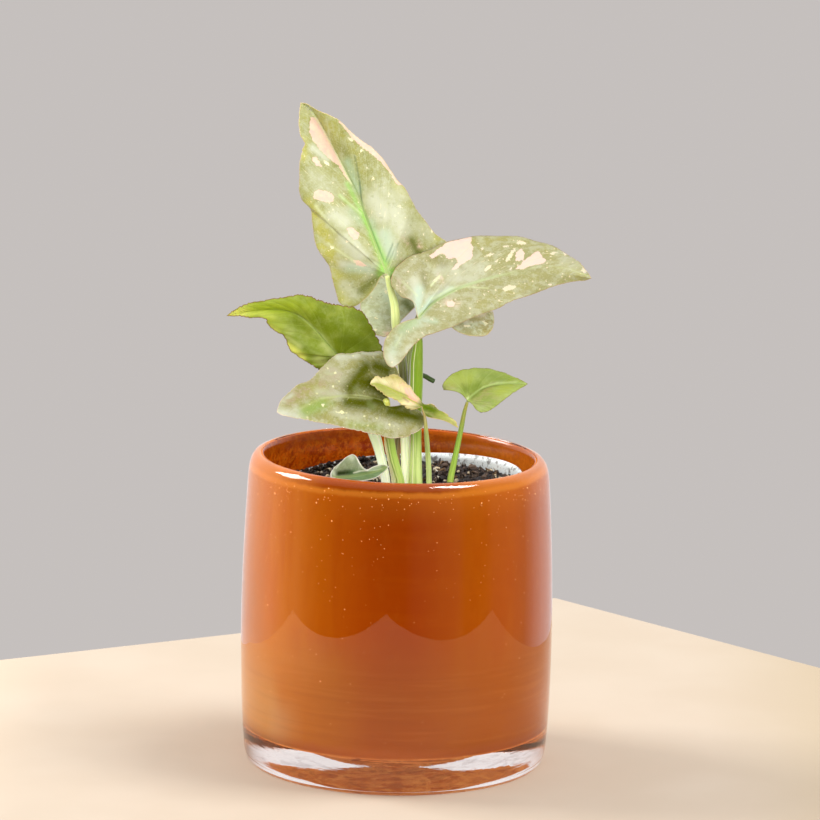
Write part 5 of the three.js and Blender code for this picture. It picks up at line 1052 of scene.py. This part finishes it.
clear = b.new("ShaderNodeBsdfTransparent")
clear.inputs[0].default_value = (.97, .96, .95, 1)
ms = b.new("ShaderNodeMixShader")
b.put(ms.inputs[0], b.math("MAXIMUM", lp.outputs["Is Shadow Ray"], lp.outputs["Is Diffuse Ray"]))
b.put(ms.inputs[1], glass); b.put(ms.inputs[2], clear.outputs[0])
m_clear = b.done(ms.outputs[0])
give(casing, m_clear, ["planter_clear_casing"])


def lin(r, g, b): return (r, g, b, 1.0)


def amber_skin(name, inside):
    b = Nodes(name)
    co = b.mm()
    hz = b.attr("hz")
    swirl = b.noise(b.vmul(co, (1, 1, .16)), 9.0, 5, .6, distortion=1.2)
    band = b.noise(b.vmul(co, (.12, .12, 1)), 6.0, 4, .6)
    fine = b.noise(b.vmul(co, (1, 1, .5)), 4.2, 3, .6)
    sx = b.new("ShaderNodeSeparateXYZ")
    b.put(sx.inputs[0], b.vadd(co, b.vmul(b.noise(b.vmul(co, (1, 1, .3)), 16.0, 2, .5, colour=True), (9, 0, 0))))
    px = sx.outputs[0]
    if inside:
        cloud = b.noise(co, 5.0, 5, .68, distortion=.8)
        c = b.mix(b.step(cloud, .40, .60), lin(.76, .135, .002), lin(.44, .048, .0008))
        c = b.mix(b.mul(b.step(b.noise(co, 2.0, 5, .72), .46, .62), .7), c, lin(.88, .24, .012))
        c = b.mix(b.mul(b.step(b.noise(co, .9, 4, .7), .52, .66), .5), c, lin(.34, .030, .0005))
        c = b.mix(b.mul(b.step(px, 4, 28), .7), c, lin(.40, .115, .008))
        c = b.mix(b.mul(b.step(hz, 104, 108.5), .6), c, lin(.34, .060, .003))
        # the inside glows a little by emission: painted light for the wall lit through from outside
        s = b.principled(c, .14, b.bump(b.noise(co, 2.4, 4, .6), .20, .7), Specular_IOR_Level=.4, Emission_Color=c, Emission_Strength=.10)
    else:
        # painted light and shade: darkest across the middle, lighter towards both sides, and lighter and yellower on
        # the left side, as the two lamps fall from left and right
        c = b.mix(b.step(px, 7, -14), lin(.50, .070, .0018), lin(.60, .098, .0025))
        c = b.mix(b.step(px, -4, -40), c, lin(.67, .185, .004))
        c = b.mix(b.step(px, 10, 28), c, lin(.57, .118, .003))
        c = b.mix(b.mul(b.step(swirl, .40, .66), .22), c, lin(.52, .070, .002))
        c = b.mix(b.mul(b.step(band, .45, .7), .18), c, lin(.66, .14, .004))
        c = b.mix(b.mul(b.step(fine, .5, .8), .10), c, col(216, 120, 44))
        # painted shade: darker at the far left and far right edges
        c = b.mix(b.mul(b.step(px, -38, -52), .75), c, lin(.38, .125, .006))
        c = b.mix(b.mul(b.step(px, 41, 51), .5), c, lin(.42, .09, .004))
        c = b.mix(b.mul(b.step(hz, 62, 30), .6), c, lin(.455, .108, .0015))
        c = b.mix(b.mul(b.step(hz, 56, 44), b.mul(b.step(px, -2, -20), .30)), c, lin(.66, .22, .006))
        c = b.mix(b.mul(b.step(hz, 94, 103.5), b.add(.14, b.mul(b.step(px, -20, -5), .24))), c, lin(.68, .18, .014))
        c = b.mix(b.mul(b.mul(b.step(px, -34, -40), b.step(px, -53, -46)), b.mul(b.step(hz, 48, 24), .75)), c, lin(.62, .28, .075))
        c = b.mix(b.mul(b.mul(b.step(px, -26, -36), b.step(px, -42, -36)), b.mul(b.step(hz, 34, 22), .55)), c, lin(.60, .30, .12))
        rows_ = b.noise(b.vmul(co, (.05, .05, 1)), 1.6, 3, .6)
        c = b.mix(b.mul(b.mul(b.step(rows_, .52, .66), b.step(hz, 60, 34)), .10), c, lin(.80, .26, .04))
        c = b.mix(b.mul(b.mul(b.step(rows_, .46, .34), b.step(hz, 60, 34)), .09), c, lin(.30, .04, .001))
        hn = b.add(hz, b.mul(b.sub(swirl, .5), 1.6))
        c = b.mix(b.mul(b.step(hn, 104.3, 105.5), .85), c, col(228, 134, 42))
        c = b.mix(b.mul(b.step(hn, 106.0, 107.2), b.mul(b.add(.2, b.mul(b.step(px, -40, -18), .75)), b.inv(b.mul(b.step(px, 16, 34), .7)))), c, lin(.35, .055, .0014))
        c = b.mix(b.mul(b.step(b.add(hz, b.mul(b.sub(swirl, .5), 3)), 18.5, 14.0), b.inv(b.mul(b.step(px, -20, -38), .75))), c, col(196, 100, 34))
        sole = b.step(hz, 13.9, 12.6)
        sr = b.math("POWER", b.add(b.math("POWER", sx.outputs[0], 2.0), b.math("POWER", sx.outputs[1], 2.0)), .5)
        ring = b.noise(b.vec(b.mul(sr, 1.0), b.mul(sx.outputs[0], .06), b.mul(sx.outputs[1], .06)), 2.6, 5, .62, distortion=.6)
        ring2 = b.noise(b.vmul(co, (1, 1, 0)), 11.0, 4, .6, distortion=2.0)
        und = b.mix(b.step(ring, .36, .64), col(206, 128, 64), col(170, 88, 38))
        und = b.mix(b.mul(b.step(ring2, .48, .64), .7), und, col(222, 150, 78))
        und = b.mix(b.mul(b.step(ring2, .42, .30), .7), und, col(128, 52, 26))
        c = b.mix(sole, c, und)
        # the sole glows by emission: painted light in place of the light that scatters into the amber through the clear
        # foot
        s = b.principled(c, .9, None, Specular_IOR_Level=0.0, Emission_Color=c, Emission_Strength=b.mul(sole, .55))
    return b.done(s)


give(amber, [amber_skin("amber_outside", False), amber_skin("amber_inside", True)], ["planter_amber_glass"])


def scatter_mesh(name, centres, sizes, base, faces, stretch=None, rough=.25, seed=0, flat=False):
    """Many small lumps as one mesh, each with its own random shape, turn and a tone value."""
    rng = np.random.default_rng(seed)
    n, m = len(centres), len(base)
    q = rng.normal(size=(n, 4)); q /= np.linalg.norm(q, axis=1)[:, None]
    w, x, y, z = q.T
    M = np.stack([np.stack([1 - 2 * (y * y + z * z), 2 * (x * y - z * w), 2 * (x * z + y * w)], -1),
                  np.stack([2 * (x * y + z * w), 1 - 2 * (x * x + z * z), 2 * (y * z - x * w)], -1),
                  np.stack([2 * (x * z - y * w), 2 * (y * z + x * w), 1 - 2 * (x * x + y * y)], -1)], 1)
    S = np.ones((n, 3)) if stretch is None else stretch
    P = base[None] * (1 + rough * rng.normal(size=(n, m, 1)).clip(-2, 2)) * S[:, None, :] * sizes[:, None, None]
    P = np.einsum("nij,nmj->nmi", M, P) + centres[:, None, :]
    F = (np.asarray(faces)[None] + (np.arange(n) * m)[:, None, None]).reshape(-1, len(faces[0]))
    tone = np.repeat(rng.random(n), m)
    return mesh_object(name, P.reshape(-1, 3), F.tolist(), dict(tone=tone), smooth_shade=not flat)


def ico(sub):
    import bmesh
    bm = bmesh.new()
    bmesh.ops.create_icosphere(bm, subdivisions=sub, radius=1)
    v = np.array([p.co[:] for p in bm.verts]); f = [[q.index for q in p.verts] for p in bm.faces]
    bm.free()
    return v, f


# seeds: tiny bubbles held in the clear layer, more of them near the lip; they glow by their own emission, as painted
# glints
rng = np.random.default_rng(31)
cnt = 640
a = rng.uniform(0, 2 * math.pi, cnt)
pick = rng.random(cnt)
z = np.where(pick < .38, 106.5 - np.abs(rng.normal(0, 4.6, cnt)), np.where(pick < .80, 104 - np.abs(rng.normal(0, 24, cnt)), rng.uniform(16, 104, cnt)))
z = np.clip(z, 15, 107)
r0 = np.interp(z, [14, 20, 36, 66, 88, 99, 103, 105.6, 107.4], [50.6, 53.0, 53.5, 53.5, 52.7, 51.95, 51.5, 51.0, 50.5])
zz = z - .0169 * r0 * np.cos(a) * smooth(78, 110, z)
v, f = ico(1)
seeds = scatter_mesh("glass_seeds", np.stack([r0 * np.cos(a), r0 * np.sin(a), zz], 1), rng.uniform(.07, .19, cnt) * np.where(rng.random(cnt) < .10, 1.7, 1), v, f, rough=0, seed=5)
b = Nodes("seed_skin")
t = b.attr("tone")
give(seeds, b.done(b.principled(b.mix(b.step(b.noise(b.mm(), .4, 2, .5), .3, .7), col(250, 190, 110), b.mix(t, col(255, 224, 160), col(244, 158, 70))), .35, None, Specular_IOR_Level=.3, Emission_Color=col(255, 176, 90), Emission_Strength=.3)))

# ---------------------------------------------------------------- nursery pot (liner)
LH, LRIM, LFOOT = 84.1, 43.6, 31.0
UP = np.array([-.073, -.017, 1.0]); UP /= np.linalg.norm(UP)
v3 = np.cross([0, 0, 1], UP)
vx = np.array([[0, -v3[2], v3[1]], [v3[2], 0, -v3[0]], [-v3[1], v3[0], 0]])
TURN = np.eye(3) + vx + vx @ vx / (1 + UP[2])
FOOT = np.array([.5, -3.8, 101.5]) - UP * LH


def pose(P): return np.asarray(P, float) @ TURN.T + FOOT
wall = LRIM - 1.4
LINER_OUT = [(0, 0), (15, 0), (26, 0), (29.6, 0), (30.5, .15), (31, .9), (31.6, 5), (36.5, 42), (wall - .3, 74), (wall - .05, LH - 6), (wall, LH - 5.2), (wall + .35, LH - 4.9), (LRIM - .3, LH - 4.8),
             (LRIM - .05, LH - 4.4), (LRIM, LH - 2.5), (LRIM - .03, LH - .7), (LRIM - .3, LH - .1), (LRIM - .7, LH)]
LINER_IN = [(LRIM - 1.1, LH), (LRIM - 1.4, LH - .2), (wall - .4, LH - 1.2), (wall - .7, LH - 3), (wall - .9, LH - 6), (wall - 1.2, 74), (35.6, 42), (30.7, 5), (30.2, 1.7), (29.4, 1.3), (26, 1.2), (12, 1.2), (0, 1.2)]
V, F, part = lathe([LINER_OUT, LINER_IN], 160, 56)
V0 = V.copy()
V[:, 2] += .0169 * V[:, 0] * smooth(78, 110, V[:, 2])  # the lip slope belongs to the glass only
local_z = V[:, 2].copy()
liner = mesh_object("liner_fine", pose(V), F, dict(hz=local_z, rr=np.hypot(V[:, 0], V[:, 1])))
# drainage holes through the floor
import bmesh
bm = bmesh.new()
for i in range(8):
    ang = (i + .5) / 8 * 2 * math.pi
    c = pose([[21 * math.cos(ang), 21 * math.sin(ang), .5]])[0] * MM
    rot = Matrix([list(TURN[0]) + [0], list(TURN[1]) + [0], list(TURN[2]) + [0], [0, 0, 0, 1]])
    bmesh.ops.create_cone(bm, cap_ends=True, segments=28, radius1=2.1 * MM, radius2=2.1 * MM, depth=6 * MM, matrix=Matrix.Translation(Vector(c)) @ rot)
me = bpy.data.meshes.new("drills"); bm.to_mesh(me); bm.free()
drills = bpy.data.objects.new("drills", me)
bpy.context.scene.collection.objects.link(drills)
mod = liner.modifiers.new("holes", "BOOLEAN"); mod.operation = "DIFFERENCE"; mod.object = drills; mod.solver = "EXACT"
bpy.context.view_layer.update()
dg = bpy.context.evaluated_depsgraph_get()
cut_me = bpy.data.meshes.new_from_object(liner.evaluated_get(dg))
if len(cut_me.polygons) > len(F) * .8:
    liner.modifiers.clear()
    liner.data = cut_me
else:
    liner.modifiers.clear()
bpy.data.objects.remove(drills)
b = Nodes("liner_skin")
co = b.mm()
n = b.noise(co, 2.2, 5, .65)
c = b.mix(b.step(b.noise(co, 14, 3, .5), .4, .7), col(226, 232, 234), col(208, 218, 222))
dirt = b.mul(b.step(n, .50, .62), b.step(b.attr("hz"), 62, 82))
c = b.mix(b.mul(dirt, .75), c, col(70, 54, 42))
c = b.mix(b.mul(b.step(b.noise(co, .5, 2, .5), .62, .7), .5), c, col(60, 46, 36))
give(liner, b.done(b.principled(c, b.add(.42, b.mul(n, .2)), b.bump(b.noise(co, .7, 3, .5), .05, .5), Subsurface_Weight=.3, Subsurface_Radius=(1, 1, 1), Subsurface_Scale=.0015)),
     ["nursery_pot"])

# ---------------------------------------------------------------- potting mix
def soil_top(x, y):
    r2 = (x - 2) ** 2 + (y - 3) ** 2
    return (LH - 2.75 - .044 * x - 1.5 * np.exp(-r2 / 420) + .55 * np.sin(.43 * x + 1.1) * np.cos(.37 * y - .6)
            + .35 * np.sin(.91 * x - .77 * y))


RINGS, AROUND = ((84, 200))
r_top = wall - .9 - .35
P = [(0, 0, float(soil_top(0, 0)))]
for i in range(1, RINGS + 1):
    for k in range(AROUND):
        a = 2 * math.pi * k / AROUND
        r = r_top * i / RINGS
        P.append((r * math.cos(a), r * math.sin(a), 0))
P = np.array(P)
P[:, 2] = np.minimum(soil_top(P[:, 0], P[:, 1]), LH - .4)
bumpy = fractal(P * [1, 1, 0] + [0, 0, 5], 2.6, 4, 3.3)
P[:, 2] += np.clip(bumpy, -1, 1) * .75 * smooth(r_top, r_top - 1.5, np.hypot(P[:, 0], P[:, 1])) + .1
P[:, 2] = np.minimum(P[:, 2], LH + .1)
rows = [P]
for zz_, rr_ in ((LH - 6, r_top), (45, 35.2), (2.2, 29.7)):
    a = 2 * math.pi * np.arange(AROUND) / AROUND
    rows.append(np.stack([rr_ * np.cos(a), rr_ * np.sin(a), np.full(AROUND, zz_)], 1))
rows.append(np.array([[0, 0, 2.2]]))
SV = np.vstack(rows)
SF = []
tot = RINGS + 3
for k in range(AROUND):
    k2 = (k + 1) % AROUND
    SF.append([0, 1 + k, 1 + k2])
    for i in range(tot - 1):
        a_, b_ = 1 + i * AROUND + k, 1 + i * AROUND + k2
        SF.append([a_, a_ + AROUND, b_ + AROUND, b_])
    e = 1 + (tot - 1) * AROUND
    SF.append([len(SV) - 1, e + k2, e + k])
soil = mesh_object("soil_fine", pose(SV), SF)


def soil_skin(name, tones, rough=.85, gloss_mix=.0, tone=True):
    b = Nodes(name)
    co = b.mm()
    n1 = b.noise(co, 1.3, 5, .7)
    n2 = b.noise(co, .28, 3, .6)
    c = b.mix(b.step(n1, .38, .62), tones[0], tones[1])
    if tone:
        c = b.mix(b.step(b.attr("tone"), .55, .95), c, tones[2])
    c = b.mix(b.mul(b.step(n2, .55, .75), .35), c, tones[2])
    return b.done(b.principled(c, b.sub(rough, b.mul(n2, .25)), b.bump(b.add(b.mul(n1, .5), b.mul(n2, .5)), .25, .8), Specular_IOR_Level=.4))


give(soil, soil_skin("soil_skin", (col(26, 20, 20), col(46, 34, 32), col(76, 57, 46)), tone=False), ["potting_soil"])
rng = np.random.default_rng(11)


def on_soil(n, rmax=40.2, lift=.1, spread=None):
    r = np.sqrt(rng.random(n)) * rmax
    a = rng.uniform(0, 2 * math.pi, n)
    x, y = r * np.cos(a), r * np.sin(a)
    z = np.minimum(soil_top(x, y), LH - .4) + rng.uniform(-.2, .5, n) + lift
    return pose(np.stack([x, y, z], 1))


v, f = ico(1)
n = 2200
size = np.clip(rng.lognormal(-.45, .42, n), .3, 1.7)
crumbs = scatter_mesh("soil_crumbs", on_soil(n), size, v, f, stretch=rng.uniform(.6, 1.25, (n, 3)), rough=.16, seed=3, flat=True)
give(crumbs, soil_skin("crumb_skin", (col(26, 20, 20), col(46, 35, 33), col(88, 68, 54))))
n = 700
size = np.clip(rng.lognormal(-.2, .35, n), .4, 1.5)
chips = scatter_mesh("bark_chips", on_soil(n, lift=.35), size, v, f, stretch=np.stack([rng.uniform(1.2, 2.6, n), rng.uniform(.5, .9, n), rng.uniform(.22, .4, n)], 1), rough=.12, seed=4, flat=True)
give(chips, soil_skin("chip_skin", (col(60, 42, 32), col(40, 29, 25), col(132, 102, 70))))
n = 240
size = np.clip(rng.lognormal(-.38, .35, n), .3, 1.3)
grains = scatter_mesh("perlite_grains", on_soil(n, lift=.5), size, v, f, stretch=rng.uniform(.7, 1.15, (n, 3)), rough=.1, seed=6, flat=False)
give(grains, soil_skin("grain_skin", (col(206, 190, 160), col(180, 160, 128), col(238, 230, 212))))
# crumbs heaped over the left lip of the liner; they also paint the shade that lies on that side of the lip
n = 600
a = rng.uniform(math.radians(90), math.radians(262), n)
r = rng.uniform(39.2, 43.4, n)
z = LH + rng.uniform(-.6, .35, n) - np.abs(a - math.radians(190)) * .25
lip = pose(np.stack([r * np.cos(a), r * np.sin(a), z], 1))
heap = scatter_mesh("lip_crumbs", lip, np.clip(rng.lognormal(-.5, .35, n), .3, 1.0), v, f, stretch=rng.uniform(.6, 1.2, (n, 3)), rough=.16, seed=8, flat=True)
give(heap, soil_skin("heap_skin", (col(28, 20, 18), col(48, 34, 28), col(86, 62, 46))))

# ---------------------------------------------------------------- stem bases kept from the frame
def tissue():
    b = Nodes("root_skin")
    n = b.noise(b.mm(), 2.0, 4, .6)
    c = b.mix(b.step(n, .4, .65), col(206, 190, 148), col(150, 124, 84))
    return b.done(b.principled(c, .6, b.bump(n, .3, .6), Subsurface_Weight=.15, Subsurface_Scale=.001))


m_root = tissue()
for node in ("stem_base_main", "stem_base_right", "stem_base_left"):
    o = frame["nodes"][node]
    o.data.materials.clear()
    o.data.materials.append(m_root)

# ---------------------------------------------------------------- floor
FLOOR = [(64.6, 246.9), (-172, 118.5), (-345, -82), (-44, -404), (352, -135), (176, 124.3)]
pts = [(x, y, 0.0) for x, y in FLOOR] + [(x, y, -24.0) for x, y in FLOOR]
NF = len(FLOOR)
floor = mesh_object("floor", pts, [list(range(NF)), list(range(2 * NF - 1, NF - 1, -1))] + [[i, NF + i, NF + (i + 1) % NF, (i + 1) % NF] for i in range(NF)], smooth_shade=False)
b = Nodes("floor_skin")
n = b.noise(b.mm(), 60, 3, .5)
c = b.mix(b.step(n, .3, .7), col(190, 177, 160), col(186, 172, 154))
fx = b.new("ShaderNodeSeparateXYZ")
b.put(fx.inputs[0], b.mm())
# painted reflection: yellower at the front, lighter at the front left and darker at the right, set for the tones the
# glass mirrors
c = b.mix(b.step(fx.outputs[1], -95, -200), c, col(186, 174, 146))
c = b.mix(b.mul(b.step(fx.outputs[0], -120, -230), b.step(fx.outputs[1], -260, -120)), c, col(226, 206, 178))
c = b.mix(b.step(fx.outputs[0], 100, 190), c, col(176, 160, 134))
floor.data.materials.append(b.done(b.principled(c, .8, None, Specular_IOR_Level=.15)))

# ---------------------------------------------------------------- light
FILL = 26.0


def soft_box(name, az, el, dist, size, watts, tint=(1, 1, 1)):
    d = np.array([math.sin(math.radians(az)) * math.cos(math.radians(el)), -math.cos(math.radians(az)) * math.cos(math.radians(el)), math.sin(math.radians(el))])
    target = np.array([0, 0, .12])
    li = bpy.data.lights.new(name, "AREA")
    li.shape = "RECTANGLE"; li.size = size[0]; li.size_y = size[1]; li.energy = watts; li.color = tint
    o = bpy.data.objects.new(name, li)
    o.location = Vector(target + d * dist)
    o.rotation_euler = Vector(-d).to_track_quat("-Z", "Y").to_euler()
    bpy.context.scene.collection.objects.link(o)
    return o


key_left = soft_box("key_left", -108, 38, 1.25, (.5, .5), 14.5, (1, .985, .96))
key_top = soft_box("key_top", 86, 64, 1.25, (.44, .44), 13.0, (1, .99, .975))

# the plant has softer and more frontal light of its own, which adds no reflection to the glass
green_things = bpy.data.collections.new("plant_only")
the_rest = bpy.data.collections.new("all_but_plant")
for ob in bpy.context.scene.objects:
    if ob.type == "MESH":
        (green_things if "blade" in ob.name or "stalk" in ob.name else the_rest).objects.link(ob)
for li in (key_left, key_top):
    li.light_linking.receiver_collection = the_rest
for li in (soft_box("plant_left", -70, 34, 1.3, (.6, .6), 8.0, (1, .985, .96)), soft_box("plant_top", 60, 62, 1.3, (.5, .5), 5.0, (1, .99, .975)),
           soft_box("plant_fill", 14, 14, 1.6, (1.0, 1.0), FILL, (1, .995, .98))):
    li.light_linking.receiver_collection = green_things

world = bpy.data.worlds.new("room")
bpy.context.scene.world = world
world.use_nodes = True
wt = world.node_tree
wt.nodes.clear()
wout = wt.nodes.new("ShaderNodeOutputWorld")
bg = wt.nodes.new("ShaderNodeBackground")
W = Nodes.__new__(Nodes); W.t = wt
sep = W.new("ShaderNodeSeparateXYZ")
W.put(sep.inputs[0], W.new("ShaderNodeTexCoord").outputs["Generated"])
x_, y_, z_ = sep.outputs
az = W.mul(W.math("ARCTAN2", x_, W.mul(y_, -1.0)), 180 / math.pi)   # 0 front, 90 right
ramp = W.new("ShaderNodeValToRGB")
ramp.color_ramp.interpolation = "LINEAR"
STOPS = [(-180, .9), (-148, 1.02), (-118, 1.0), (-107, .92), (-97, .66), (-90, .46), (-87, .40), (-80, .38), (-73, .20), (-66, .10), (-58, .03), (-20, .0), (6, .0),
         (14, .09), (46, .14), (52, .03), (62, .01), (69, .04), (76, .16), (91, .22), (108, .30), (121, .80), (134, 1.05), (158, .95), (180, .9)]
els = ramp.color_ramp.elements
for deg, val in STOPS:
    at_ = (deg + 180) / 360
    e_ = els[0] if deg == -180 else els[-1] if deg == 180 else els.new(at_)
    e_.color = (val, val * .96, val * .97, 1)
W.put(ramp.inputs[0], W.math("MULTIPLY_ADD", az, 1 / 360.0))
ramp.inputs[0].links[0].from_node.inputs[2].default_value = .5
c = ramp.outputs[0]
lp = W.new("ShaderNodeLightPath")
ambient = W.mix(W.step(z_, -.02, .30), c, (.80, .78, .79, 1))
room = W.mix(W.step(z_, .55, .97), c, (.62, .61, .61, 1))
c = W.mix(lp.outputs["Is Diffuse Ray"], room, ambient)
c = W.mix(W.step(z_, -.25, -.6), c, (.30, .28, .27, 1))
c = W.mix(lp.outputs["Is Camera Ray"], c, (.560, .527, .512, 1))
W.put(bg.inputs["Color"], c)
bg.inputs["Strength"].default_value = 1.0
wt.links.new(bg.outputs[0], wout.inputs["Surface"])

# ---------------------------------------------------------------- camera
fw, right, up = view_axes()
cam_data = bpy.data.cameras.new("camera")
cam_data.sensor_width = 36.0
cam_data.sensor_fit = "HORIZONTAL"
cam_data.lens = VIEW["focal"] / 820 * 36.0
cam_data.clip_start = .05
cam = bpy.data.objects.new("camera", cam_data)
bpy.context.scene.collection.objects.link(cam)
cam.matrix_world = Matrix([[right[i], up[i], -fw[i], VIEW["at"][i] * MM] for i in range(3)] + [[0, 0, 0, 1]])
bpy.context.scene.camera = cam
bpy.context.scene.view_settings.view_transform = "Standard"
bpy.context.scene.view_settings.look = "None"
bpy.context.scene.view_settings.exposure = 0.0
bpy.context.scene.cycles.use_denoising = True
bpy.context.scene.cycles.max_bounces = 14
bpy.context.scene.cycles.transmission_bounces = 12
bpy.context.scene.cycles.transparent_max_bounces = 16

bpy.context.view_layer.update()
